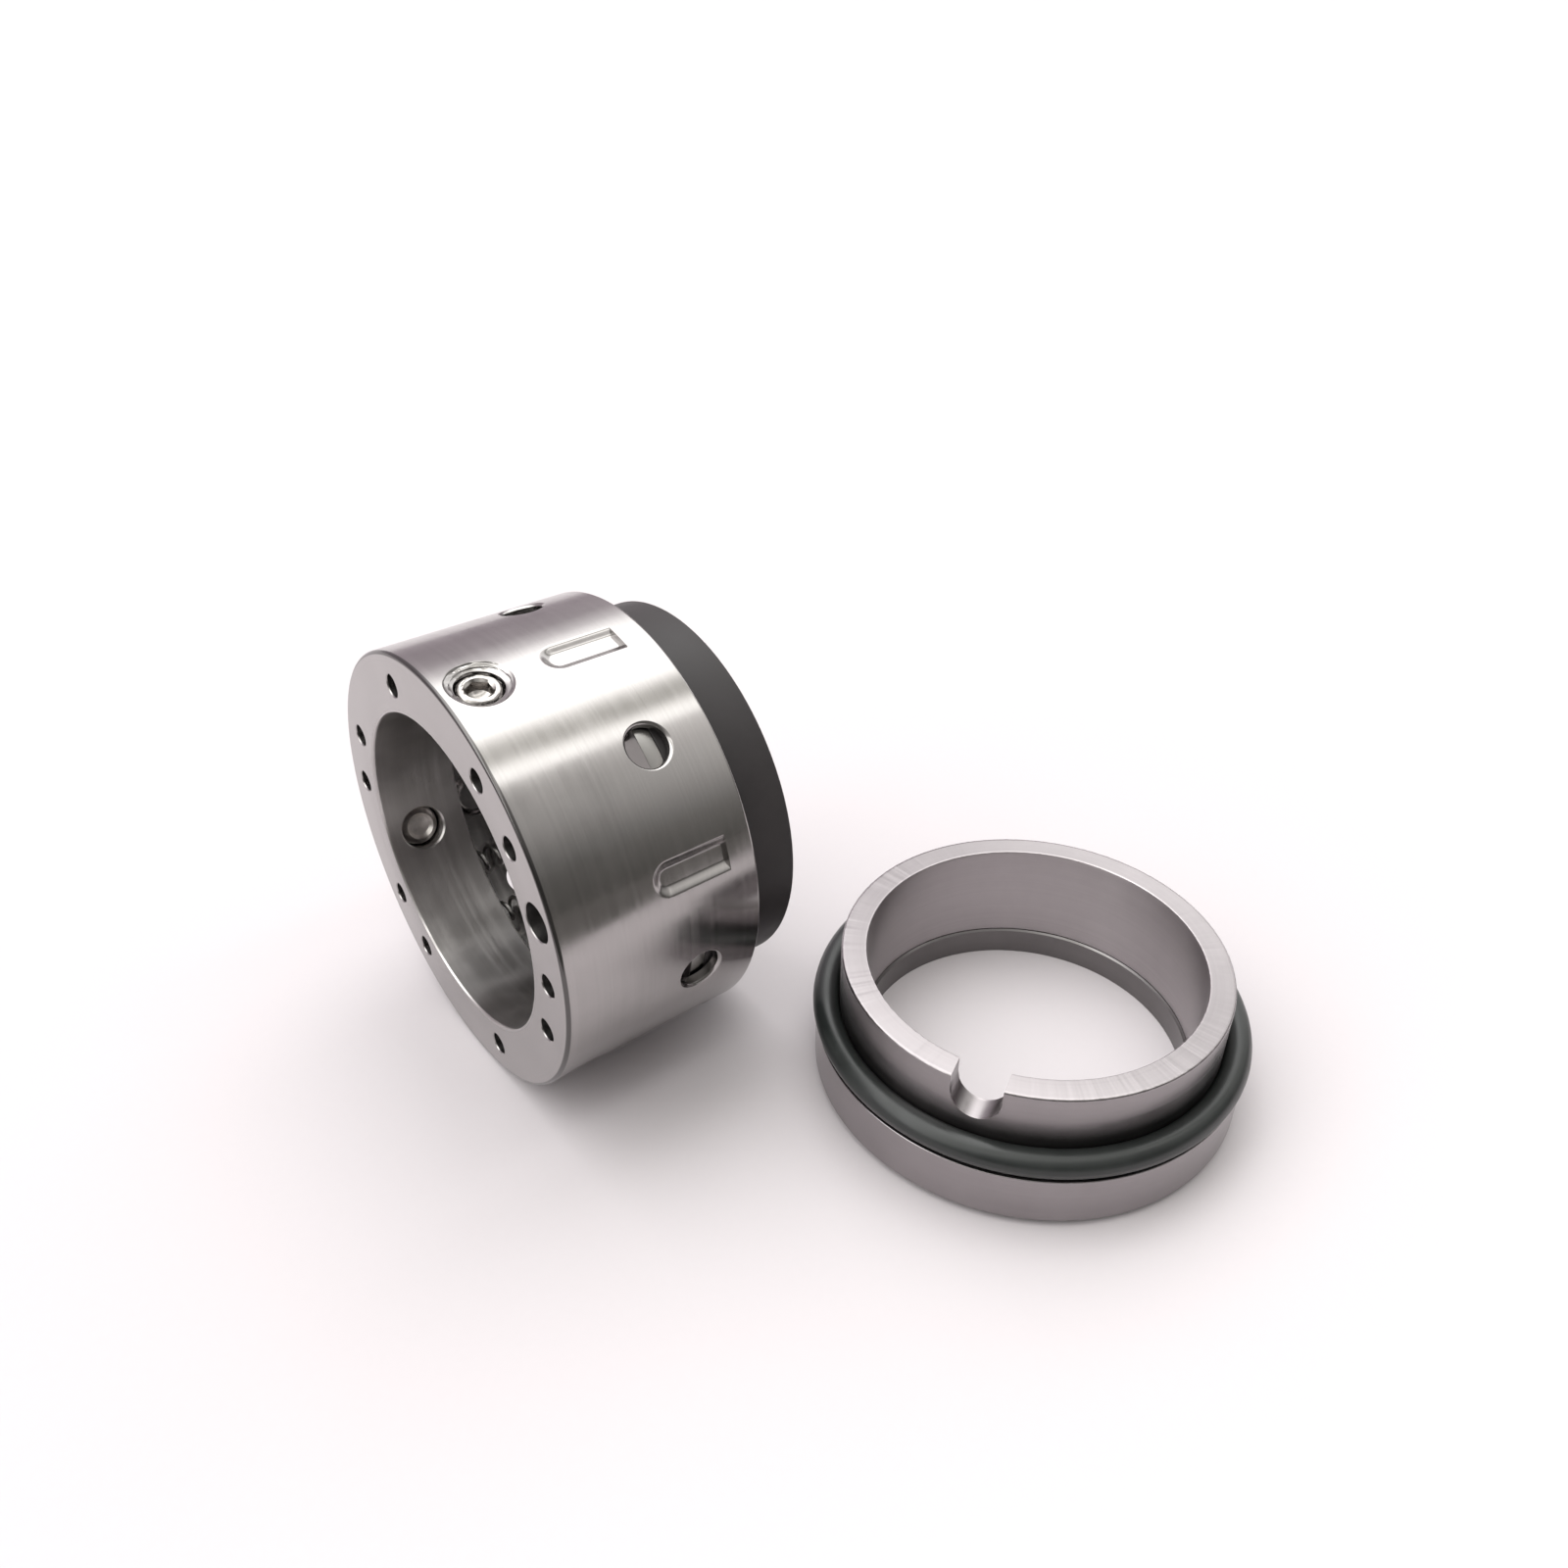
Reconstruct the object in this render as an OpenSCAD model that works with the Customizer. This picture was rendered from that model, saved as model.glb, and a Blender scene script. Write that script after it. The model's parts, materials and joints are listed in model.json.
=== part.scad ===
// Multi-spring mechanical seal: the rotary unit lies on its side beside the stationary seat ring.
// The shaft axis of the rotary unit is +X, and the origin is the centre of its rear face.
// The unit and the seat lie on one flat surface, a retainer's radius below the origin.

/* [Shaft] */
// Diameter of the shaft that the seal is made for
shaft_d = 43; // [30:0.5:60]
// Radial sliding clearance between the shaft and the hub
shaft_fit = 0.025; // [0.01:0.005:0.1]

/* [Retainer] */
// Radial thickness of the hub, from its bore to the outside
hub_wall = 7.975; // [7.5:0.025:11]
// Length of the hub from the rear face to the open end
hub_len = 11.5; // [10.5:0.1:16]
// Length of the whole retainer
retainer_len = 27.5; // [26.5:0.1:40]
// Wall of the thin skirt in front of the hub
skirt_wall = 1.4; // [1:0.05:1.8]
// Bevel on the outer edge of the rear face
rear_bevel = 0.5; // [0.2:0.05:1]
// Bevel on the two ends of the bore
bore_bevel = 0.35; // [0.1:0.05:0.6]
// Bevel on the front edge of the skirt
front_bevel = 0.3; // [0.1:0.05:0.5]

/* [Dents] */
// Number of drive dents, and of wash holes between them
stations = 6; // [4:1:6]
// Angle of the first dent from the top of the retainer
first_dent = 12; // [0:1:59]
// Distance from the retainer's front edge to the sheared end of a dent
dent_setback = 3.7; // [3.5:0.1:5]
// Length of a dent from its round end to its sheared end
dent_len = 10.5; // [9:0.1:11]
// Width of a dent at the outer surface
dent_w = 4.5; // [3.5:0.1:5]
// Depth of a dent below the outer surface
dent_depth = 0.8; // [0.6:0.05:1]
// Wall of the rib that a dent raises inside the skirt
dent_wall = 1.4; // [1.2:0.05:1.5]
// How far the front end of a rib lies behind the sheared end of its dent
rib_setback = 0.15; // [0.05:0.05:0.3]
// Clearance between a dent and the notches of the rings
dent_clear = 0.3; // [0.2:0.05:0.5]

/* [Wash holes] */
// Diameter of the round holes in the skirt
wash_d = 5.5; // [4:0.1:6]
// Distance from the rear face to the middle of the wash holes
wash_x = 18.8; // [16:0.1:20]
// Width of the broken edge round a hole
edge_break = 0.3; // [0.1:0.05:0.4]

/* [Springs] */
// Outside diameter of a spring
spring_d = 3.7; // [3:0.1:4]
// Wire thickness of a spring
spring_wire = 0.6; // [0.4:0.05:0.7]
// Active turns of a spring
spring_turns = 6; // [4:1:8]
// Metal left between a spring pocket and the bore
pocket_wall = 1.5; // [1:0.05:2]
// Radial clearance of a spring in its pocket
pocket_clear = 0.25; // [0.2:0.05:0.3]
// Thickness of the rear wall behind the pockets
pocket_floor = 3.5; // [2.5:0.1:4.5]
// Diameter of the holes from the rear face into the pockets
vent_d = 3; // [2:0.1:3.2]
// Angle of each spring of a pair from the middle of its station
pair_half_angle = 9.75; // [9:0.25:11]
// Every how many stations one holds a single spring instead of a pair
single_every = 3; // [2:1:4]

/* [Pin hole] */
// Diameter of the drive pin hole in the rear face
pin_hole_d = 5; // [4:0.1:5.2]
// Depth of the drive pin hole
pin_hole_depth = 8; // [5:0.5:9]
// Station whose dent the pin hole lies behind
pin_station = 1; // [0:1:1]

/* [Set screws] */
// Every how many dents a set screw sits behind one
screw_every = 2; // [2:1:3]
// Thread diameter of the set screws
screw_d = 6; // [5:0.5:6]
// Length of a set screw
screw_len = 6; // [5:0.5:6.5]
// Distance from the rear face to the axis of the set screws
screw_x = 5.2; // [4.5:0.1:6]
// How far a screw's socket end lies below the outer surface
screw_sunk = 0.9; // [0.5:0.1:1.2]
// Running clearance between a screw and its hole
screw_fit = 0.08; // [0.03:0.01:0.1]
// Width of the countersink of a set screw's hole
screw_sink = 0.75; // [0.3:0.05:1]
// Diameter of the rim of a screw's cup point
screw_point_d = 3.8; // [3:0.1:4]
// Bevel on a screw's socket end and inside its cup point
screw_bevel = 0.5; // [0.3:0.05:0.6]
// Width across the flats of the hexagon socket
socket_af = 3; // [2.5:0.5:3]
// Depth of the hexagon socket
socket_depth = 3.5; // [2:0.5:3.5]

/* [Thrust ring] */
// Distance from the rear face to the thrust ring at rest
thrust_x = 18.6; // [17:0.1:20]
// Thickness of the thrust ring
thrust_t = 2; // [1.5:0.1:2.5]
// Radial clearance of the thrust ring and the face ring round the shaft
ring_clear = 0.5; // [0.3:0.05:0.8]
// Radial clearance of the rings inside the skirt
skirt_clear = 0.3; // [0.2:0.05:0.4]

/* [Shaft O-ring] */
// Thickness of the O-ring on the shaft
shaft_o_d = 3.5; // [3:0.05:4]
// How far the relaxed O-ring reaches inside the shaft's surface
shaft_o_squeeze = 0.15; // [0.05:0.05:0.3]
// Clearance of an O-ring in its seat
o_ring_play = 0.1; // [0.05:0.05:0.3]

/* [Face ring] */
// Distance from the rear face to the seal face
face_x = 35.7; // [33:0.1:42]
// Radial thickness of the nose that carries the seal face
nose_wall = 3.975; // [3:0.025:4.5]
// Depth of the O-ring's pocket in the face ring
o_pocket_depth = 4.2; // [3.9:0.1:5]
// Bevel on the outer edge of the seal face
face_bevel = 0.4; // [0.2:0.05:0.8]
// Height of the raised seal face
face_land_h = 0.8; // [0.4:0.1:1.5]
// Width that the seal face is set back from the bore
face_land_in = 0.8; // [0.4:0.1:1.2]

/* [Snap ring] */
// Wire thickness of the snap ring
snap_wire = 1.4; // [1.2:0.1:1.5]
// Depth of the snap ring's groove in the skirt
snap_groove = 0.45; // [0.3:0.05:0.6]
// Distance from the skirt's front edge to the middle of the groove
snap_setback = 1.6; // [1.5:0.1:2]
// Angle left open between the ends of the snap ring
snap_gap = 14; // [8:1:30]
// Axial gap between the snap ring and the face ring's flange
snap_play = 0.2; // [0.1:0.05:0.3]

/* [Seat] */
// Height of the whole seat
seat_h = 18.5; // [16:0.1:24]
// Radial clearance of the seat body round the shaft
seat_clear = 0.6; // [0.4:0.05:1.5]
// Radial thickness of the neck
neck_wall = 3.3; // [3:0.1:4.5]
// Height of the flange's top above the seal face
flange_top = 8; // [6.5:0.1:10]
// Thickness of the O-ring on the neck
seat_o_d = 3.55; // [3:0.05:4]
// How far the O-ring stands out beyond the flange
seat_o_proud = 0.45; // [0.2:0.05:0.8]
// Height of the set-back rim at the foot of the flange
rim_h = 1.1; // [0.8:0.1:2]
// Radial set-back of that rim
rim_in = 0.55; // [0.3:0.05:1]
// Width of the anti-rotation notch
notch_w = 6.4; // [4.5:0.1:7]
// Depth of the anti-rotation notch below the top
notch_depth = 5.4; // [4.5:0.1:6]
// Direction of the notch, seen from above
notch_angle = -153; // [-180:1:180]
// Bevel on the top outer edge of the neck
neck_bevel = 0.4; // [0.1:0.05:0.8]

/* [Seat insert] */
// Thickness of the hard face insert
insert_t = 4.1; // [3:0.1:5]
// Radial width of the insert
insert_w = 4.2; // [3:0.1:5]
// Radial clearance of the insert round the shaft
insert_clear = 0.25; // [0.1:0.05:0.5]
// Height that the insert stands out of the seat body
insert_proud = 0.3; // [0.1:0.05:0.6]
// Joint gap round the insert
insert_gap = 0.02; // [0.01:0.01:0.05]
// Bevel on the insert's inner edge
insert_bevel = 0.2; // [0.1:0.05:0.4]

/* [Layout] */
// Clear space between the rotary unit and the seat, seen from above
stand_gap = 3; // [2:0.5:20]
// Direction from the rotary unit's front corner to the seat
seat_direction = -45.3; // [-60:0.1:-30]

/* [Hidden] */
$fn = 96;
// Small overlap of cutting shapes beyond the faces that they cut
over = 1;
bore_r = shaft_d / 2 + shaft_fit;
outer_r = bore_r + hub_wall;
skirt_r = outer_r - skirt_wall;
station_angle = 360 / stations;

// A dent is a round-ended trough whose axis lies just outside the surface
trough_r = (pow(dent_w / 2, 2) + pow(dent_depth, 2)) / (2 * dent_depth);
trough_axis_r = outer_r - dent_depth + trough_r;
rib_r = trough_r + dent_wall;
dent_notch_r = rib_r + dent_clear;
dent_end = retainer_len - dent_setback;
trough_tip_x = dent_end - dent_len + dent_w / 2;

pocket_r = spring_d / 2 + pocket_clear;
pitch_r = bore_r + pocket_wall + pocket_r;
pin_pitch_r = bore_r + hub_wall / 2;
function is_single(k) = k % single_every == single_every - 1;
function station_mid(k) = first_dent + (k + 0.5) * station_angle;
spring_angles = [
    for (k = [0 : stations - 1], side = is_single(k) ? [0] : [-1, 1]) station_mid(k) + side * pair_half_angle
];

screw_r = screw_d / 2 - screw_fit;
screw_top_r = outer_r - screw_sunk;
screw_point_r = screw_point_d / 2;
screw_angles = [for (k = [0 : screw_every : stations - 1]) first_dent + k * station_angle];

ring_bore_r = shaft_d / 2 + ring_clear;
ring_outer_r = skirt_r - skirt_clear;
face_back_x = thrust_x + thrust_t;
nose_r = ring_bore_r + nose_wall;
snap_x = retainer_len - snap_setback;
snap_r = skirt_r + snap_groove - o_ring_play / 2 - snap_wire / 2;
flange_x = snap_x - snap_wire / 2 - snap_play;
o_pocket_r = shaft_d / 2 - shaft_o_squeeze + shaft_o_d + o_ring_play;

seat_bore_r = shaft_d / 2 + seat_clear;
neck_r = seat_bore_r + neck_wall;
flange_r = neck_r + seat_o_d - seat_o_proud;
insert_bore_r = shaft_d / 2 + insert_clear;
insert_r = insert_bore_r + insert_w;
seat_o_out_r = neck_r + seat_o_d;
seat_reach = seat_o_out_r + stand_gap;
seat_pos = [
    face_x + seat_reach * cos(seat_direction),
    -nose_r + seat_reach * sin(seat_direction),
    -outer_r
];

SPRINGS = [for (i = [1 : len(spring_angles)]) str("spring_", i < 10 ? "0" : "", i)];
SCREWS = [for (i = [1 : len(screw_angles)]) str("set_screw_", i)];

// Turns a profile of [radius, distance along the shaft] points round the shaft axis
module turned(profile) {
    rotate([0, 90, 0]) rotate_extrude() polygon(profile);
}

// Places its children, drawn standing on +Z, at an angle from the top and a distance from the rear face
module around(angle, x = 0) {
    translate([x, 0, 0]) rotate([angle, 0, 0]) children();
}

// A cylinder along the shaft axis, at a radius and an angle
module axial(angle, r, x0, x1, size) {
    around(angle, x0) translate([0, 0, r]) rotate([0, 90, 0]) cylinder(h = x1 - x0, r = size);
}

// A bar along a dent's axis with a ball at its rear end and a flat front end
module dent_bar(angle, size, front) {
    around(angle, trough_tip_x) translate([0, 0, trough_axis_r]) rotate([0, 90, 0]) rotate([0, 0, 180])
        rotate_extrude() intersection() {
            union() {
                circle(r = size);
                square([size, front - trough_tip_x]);
            }
            translate([0, -size]) square([size, size + front - trough_tip_x]);
        }
}

// A round hole through a wall, with its outer edge broken
module radial_hole(angle, x, r, inner, sink) {
    around(angle, x) translate([0, 0, inner]) cylinder(h = outer_r + over - inner, r = r);
    around(angle, x) translate([0, 0, outer_r - sink]) cylinder(h = sink + over, r1 = r, r2 = r + sink + over);
}

module retainer_blank() {
    groove_r = skirt_r + snap_groove;
    groove_half = snap_wire / 2 + o_ring_play;
    turned([
        [bore_r + bore_bevel, 0], [outer_r - rear_bevel, 0], [outer_r, rear_bevel],
        [outer_r, retainer_len - front_bevel], [outer_r - front_bevel, retainer_len], [skirt_r, retainer_len],
        [skirt_r, snap_x + groove_half], [groove_r, snap_x + groove_half],
        [groove_r, snap_x - groove_half], [skirt_r, snap_x - groove_half],
        [skirt_r, hub_len], [bore_r + bore_bevel, hub_len],
        [bore_r, hub_len - bore_bevel], [bore_r, bore_bevel]
    ]);
}

module retainer() {
    color("silver") difference() {
        union() {
            retainer_blank();
            intersection() {
                for (k = [0 : stations - 1])
                    dent_bar(first_dent + k * station_angle, rib_r, dent_end - rib_setback);
                rotate([0, 90, 0]) cylinder(h = retainer_len, r = skirt_r + skirt_wall / 2);
            }
        }
        for (k = [0 : stations - 1]) {
            dent_bar(first_dent + k * station_angle, trough_r, dent_end);
            radial_hole(station_mid(k), wash_x, wash_d / 2, skirt_r - over, edge_break);
        }
        for (a = spring_angles) {
            axial(a, pitch_r, pocket_floor, hub_len + over, pocket_r);
            axial(a, pitch_r, -over, pocket_floor + over, vent_d / 2);
        }
        for (a = screw_angles)
            radial_hole(a, screw_x, screw_d / 2, bore_r - over, screw_sink);
        axial(first_dent + pin_station * station_angle, pin_pitch_r, -over, pin_hole_depth, pin_hole_d / 2);
    }
}

module thrust_ring() {
    color("lightsteelblue") difference() {
        turned([
            [ring_bore_r, thrust_x], [ring_outer_r, thrust_x],
            [ring_outer_r, thrust_x + thrust_t], [ring_bore_r, thrust_x + thrust_t]
        ]);
        for (k = [0 : stations - 1])
            axial(first_dent + k * station_angle, trough_axis_r, thrust_x - over, thrust_x + thrust_t + over,
                dent_notch_r);
    }
}

module shaft_o_ring() {
    r = shaft_d / 2 - shaft_o_squeeze + shaft_o_d / 2;
    x = face_back_x + (o_pocket_depth - shaft_o_d) / 2 + shaft_o_d / 2;
    color("dimgray") translate([x, 0, 0]) rotate([0, 90, 0])
        rotate_extrude() translate([r, 0]) circle(r = shaft_o_d / 2, $fn = 48);
}

module face_ring() {
    pocket_x = face_back_x + o_pocket_depth;
    color("black") difference() {
        turned([
            [o_pocket_r, face_back_x], [ring_outer_r, face_back_x], [ring_outer_r, flange_x],
            [nose_r, flange_x], [nose_r, face_x - face_bevel], [nose_r - face_bevel, face_x],
            [ring_bore_r + face_land_in, face_x], [ring_bore_r + face_land_in, face_x - face_land_h],
            [ring_bore_r, face_x - face_land_h], [ring_bore_r, pocket_x], [o_pocket_r, pocket_x]
        ]);
        for (k = [0 : stations - 1])
            axial(first_dent + k * station_angle, trough_axis_r, face_back_x - over, flange_x + over,
                dent_notch_r);
    }
}

module snap_ring() {
    color("gray") translate([snap_x, 0, 0]) rotate([0, 90, 0]) rotate([0, 0, snap_gap / 2])
        rotate_extrude(angle = 360 - snap_gap) translate([snap_r, 0]) circle(r = snap_wire / 2, $fn = 32);
}

// Distance along a spring's axis at a turn, with a closed turn at each end
function coil_rise(t, turns, length, wire) =
    t < 1 ? wire * t :
    t > turns + 1 ? length - 2 * wire + wire * (t - turns - 1) :
    wire + (length - 3 * wire) * (t - 1) / turns;

// A coil spring along +X from the origin, swept as one closed tube
module coil(length, out_r, wire, turns) {
    mean_r = out_r - wire / 2;
    sides = 6;
    per_turn = 10;
    steps = (turns + 2) * per_turn;
    rings = [for (i = [0 : steps])
        let (t = i / per_turn, a = 360 * t, x = wire / 2 + coil_rise(t, turns, length, wire))
        for (j = [0 : sides - 1])
            let (b = 360 * j / sides, r = mean_r + wire / 2 * cos(b))
            [x + wire / 2 * sin(b), r * cos(a), r * sin(a)]
    ];
    sleeve = [for (i = [0 : steps - 1], j = [0 : sides - 1])
        let (k = (j + 1) % sides, a = i * sides, b = a + sides)
        [a + j, b + j, b + k, a + k]
    ];
    first_end = [for (j = [0 : sides - 1]) j];
    last_end = [for (j = [0 : sides - 1]) steps * sides + sides - 1 - j];
    polyhedron(points = rings, faces = concat([first_end], sleeve, [last_end]), convexity = 10);
}

module spring(i) {
    length = thrust_x - pocket_floor - 2 * o_ring_play;
    color("slategray") around(spring_angles[i], pocket_floor + o_ring_play)
        translate([0, 0, pitch_r]) coil(length, spring_d / 2, spring_wire, spring_turns);
}

// A socket set screw with a cup point, along its own axis from the point to the socket end
module set_screw(i) {
    tip = screw_top_r - screw_len;
    color("darkslategray") around(screw_angles[i], screw_x) translate([0, 0, tip]) difference() {
        rotate_extrude() polygon([
            [0, screw_bevel], [screw_point_r - screw_bevel, screw_bevel], [screw_point_r, 0],
            [screw_r, screw_r - screw_point_r], [screw_r, screw_len - screw_bevel],
            [screw_r - screw_bevel, screw_len], [0, screw_len]
        ]);
        translate([0, 0, screw_len - socket_depth])
            cylinder(h = socket_depth + over, r = socket_af / sqrt(3), $fn = 6);
    }
}

module on_seat() {
    translate(seat_pos) children();
}

module seat_body() {
    foot = insert_proud;
    cup_r = insert_r + insert_gap;
    cup_z = insert_t + insert_gap;
    color("lightgray") on_seat() difference() {
        rotate_extrude() polygon([
            [cup_r, foot], [flange_r - rim_in, foot], [flange_r - rim_in, rim_h], [flange_r, rim_h],
            [flange_r, flange_top], [neck_r, flange_top], [neck_r, seat_h - neck_bevel],
            [neck_r - neck_bevel, seat_h], [seat_bore_r, seat_h], [seat_bore_r, cup_z], [cup_r, cup_z]
        ]);
        rotate([0, 0, notch_angle]) translate([0, 0, seat_h - notch_depth + notch_w / 2]) {
            rotate([0, 90, 0]) cylinder(h = neck_r + over, r = notch_w / 2);
            translate([0, -notch_w / 2, 0]) cube([neck_r + over, notch_w, notch_depth]);
        }
    }
}

module seat_insert() {
    color("dimgray") on_seat() rotate_extrude() polygon([
        [insert_bore_r, 0], [insert_r, 0], [insert_r, insert_t],
        [insert_bore_r + insert_bevel, insert_t], [insert_bore_r, insert_t - insert_bevel]
    ]);
}

module seat_o_ring() {
    color("darkolivegreen") on_seat()
        translate([0, 0, flange_top + insert_gap + seat_o_d / 2])
            rotate_extrude() translate([neck_r + insert_gap + seat_o_d / 2, 0]) circle(r = seat_o_d / 2, $fn = 48);
}

retainer();
thrust_ring();
shaft_o_ring();
face_ring();
snap_ring();
for (i = [0 : len(SPRINGS) - 1])
    spring(i);
for (i = [0 : len(SCREWS) - 1])
    set_screw(i);
seat_body();
seat_insert();
seat_o_ring();
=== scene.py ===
import json
import math

import bmesh
import bpy
import numpy as np
from mathutils import Matrix, Vector
from mathutils.geometry import delaunay_2d_cdt


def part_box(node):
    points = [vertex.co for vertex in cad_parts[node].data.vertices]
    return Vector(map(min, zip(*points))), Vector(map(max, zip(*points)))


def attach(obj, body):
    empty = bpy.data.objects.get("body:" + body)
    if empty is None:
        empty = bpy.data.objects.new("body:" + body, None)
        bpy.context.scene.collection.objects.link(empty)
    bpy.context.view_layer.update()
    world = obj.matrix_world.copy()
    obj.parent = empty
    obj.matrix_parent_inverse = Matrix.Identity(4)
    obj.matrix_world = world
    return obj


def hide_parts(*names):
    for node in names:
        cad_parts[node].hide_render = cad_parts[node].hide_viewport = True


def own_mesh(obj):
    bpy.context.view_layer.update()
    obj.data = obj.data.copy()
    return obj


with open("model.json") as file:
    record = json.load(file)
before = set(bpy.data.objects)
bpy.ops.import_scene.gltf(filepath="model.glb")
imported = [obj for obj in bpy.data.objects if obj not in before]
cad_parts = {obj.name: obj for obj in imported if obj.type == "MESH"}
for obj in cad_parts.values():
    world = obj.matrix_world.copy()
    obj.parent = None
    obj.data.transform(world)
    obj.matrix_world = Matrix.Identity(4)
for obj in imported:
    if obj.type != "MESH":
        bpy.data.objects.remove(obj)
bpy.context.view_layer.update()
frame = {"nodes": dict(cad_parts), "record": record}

MM = 0.001
TURN = 2 * math.pi


# Sizes of the part, from the frame
def box_mm(node):
    low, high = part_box(node)
    return np.array(low) / MM, np.array(high) / MM


MOUNTS = {m["name"]: m for m in frame["record"]["mounts"]}


def bore_of(mount):
    return MOUNTS[mount]["dims"]["r_mm"]


retainer_low, retainer_high = box_mm("retainer")
insert_low, insert_high = box_mm("seat_insert")
RETAINER_LEN, OUTER_R = retainer_high[0], retainer_high[2]
FLOOR_Z = retainer_low[2]
SEAT_AT = (*((insert_low + insert_high) / 2)[:2].tolist(), float(FLOOR_Z))
BORE_R = bore_of("shaft_bore")
PIN_R = bore_of("drive_pin_hole")
PIN_DEPTH = MOUNTS["drive_pin_hole"]["dims"]["length_mm"]
PIN_PITCH_R = float(np.hypot(*MOUNTS["drive_pin_hole"]["pos_m"][1:])) / MM

# Sizes of the retainer that the frame doesn't give
STATIONS = 6
FIRST_DENT = 12
STATION = 360 // STATIONS
DENT_ANGLES = [FIRST_DENT + STATION * k for k in range(STATIONS)]
WASH_ANGLES = [a + STATION / 2 for a in DENT_ANGLES]
SCREW_ANGLES = DENT_ANGLES[::2]
PIN_ANGLE = DENT_ANGLES[1]
PAIR = 9.75
SPRING_ANGLES = []
for station, middle in enumerate(WASH_ANGLES):
    SPRING_ANGLES += [middle] if station % 3 == 2 else [middle - PAIR, middle + PAIR]
SKIRT_R = OUTER_R - 1.4
HUB_LEN = 11.5
REAR_BEVEL, BORE_BEVEL, FRONT_BEVEL, HOLE_BEVEL = 0.5, 0.35, 0.3, 0.12
SNAP_X, SNAP_HALF, SNAP_DEPTH = 25.9, 0.8, 0.45
DENT_START, DENT_END, DENT_HALF, DENT_DEPTH = 13.3, 23.8, 2.25, 0.8
WASH_X, WASH_R, WASH_EDGE = 18.8, 2.75, 0.3
POCKET_FLOOR, POCKET_R, VENT_R = 3.5, 2.1, 1.5
POCKET_PITCH_R = BORE_R + 1.5 + POCKET_R
SCREW_X, SCREW_HOLE_R, SCREW_SINK, SCREW_FLARE, THREAD_PITCH = 5.2, 3.0, 0.75, 1.05, 1.0

# Sides of round shapes, and the angle at which every ring round the shaft starts
RING, HOLE_SIDES, POCKET_SIDES, PIN_SIDES = 360, 64, 40, 56
SEAM = math.radians(27)


# Places and axes
def turns(count):
    """Evenly spaced angles, once round."""
    return TURN * np.arange(count) / count


def quarter(count):
    return np.linspace(0, math.pi / 2, count)


EVEN = turns(RING)
HOLE_TURNS = turns(HOLE_SIDES)


class Axis:
    """An axis that a shape is turned on: its origin, its direction, and where its angles 0 and 90 point."""

    def __init__(self, origin, along, start, side):
        self.origin, self.along = np.array(origin, float), np.array(along, float)
        self.start, self.side = np.array(start, float), np.array(side, float)

    def ring(self, along, r, angles):
        along, r, angles = np.broadcast_arrays(np.asarray(along, float), r, angles)
        out = np.cos(angles)[:, None] * self.start + np.sin(angles)[:, None] * self.side
        return self.origin + along[:, None] * self.along + r[:, None] * out

    def saddle(self, wall_r, r, sunk):
        """A ring round a radial axis that lies on a cylinder round the shaft, sunk a little below it."""
        return self.ring(np.sqrt(wall_r ** 2 - (r * np.sin(HOLE_TURNS)) ** 2) - sunk, r, HOLE_TURNS)

    def split(self, p):
        """Distance along the axis, distance from it, and the direction away from it."""
        q = p - self.origin
        along = q @ self.along
        out = q - along[:, None] * self.along
        r = np.linalg.norm(out, axis=1)
        return along, r, out / np.maximum(r, 1e-9)[:, None]

    def normals(self, way, centre=None):
        """A function from points to true normals: all one way, or away from a round edge's centre."""
        def normal_at(p):
            along, r, out = self.split(p)
            if centre is None:
                return way[0] * self.along + way[1] * out
            return (along - centre[0])[:, None] * self.along + (r - centre[1])[:, None] * out
        return normal_at


SHAFT = Axis((0, 0, 0), (1, 0, 0), (0, 0, 1), (0, -1, 0))
SEAT = Axis(SEAT_AT, (0, 0, 1), (1, 0, 0), (0, 1, 0))


def radial_axis(x, angle, height=0.0):
    """An axis outwards from the shaft, at x and an angle in degrees, that starts at a height."""
    a = math.radians(angle)
    out, side = np.array([0, -math.sin(a), math.cos(a)]), np.array([0, -math.cos(a), -math.sin(a)])
    return Axis(np.array([x, 0, 0]) + height * out, out, (1, 0, 0), side)


def ring(x, r):
    return SHAFT.ring(x, r, SEAM + EVEN)


def face_spot(angle, r):
    """The y and z of a point of a flat face, from its angle in degrees and its radius."""
    a = math.radians(angle)
    return -r * math.sin(a), r * math.cos(a)


def circle(centre, r, count):
    t = turns(count)
    return np.stack([centre[0] + r * np.cos(t), centre[1] + r * np.sin(t)], axis=-1)


def from_seam(angle):
    return (math.radians(angle) - SEAM) % TURN


def from_dent(angles):
    """Angle from the middle of the nearest dent, in radians."""
    half = math.radians(STATION) / 2
    return (angles - math.radians(FIRST_DENT) + half) % (2 * half) - half


def hole_loop(x, angle, hole_r, r):
    """The edge of a round hole on an unrolled cylinder of radius r."""
    turned = from_seam(angle) + np.arcsin(hole_r * np.sin(HOLE_TURNS) / r)
    return np.stack([x + hole_r * np.cos(HOLE_TURNS), turned * r], axis=-1)


# Meshes
SHARP_ANGLE = 32
SAME_POINT = 1e-4


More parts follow.
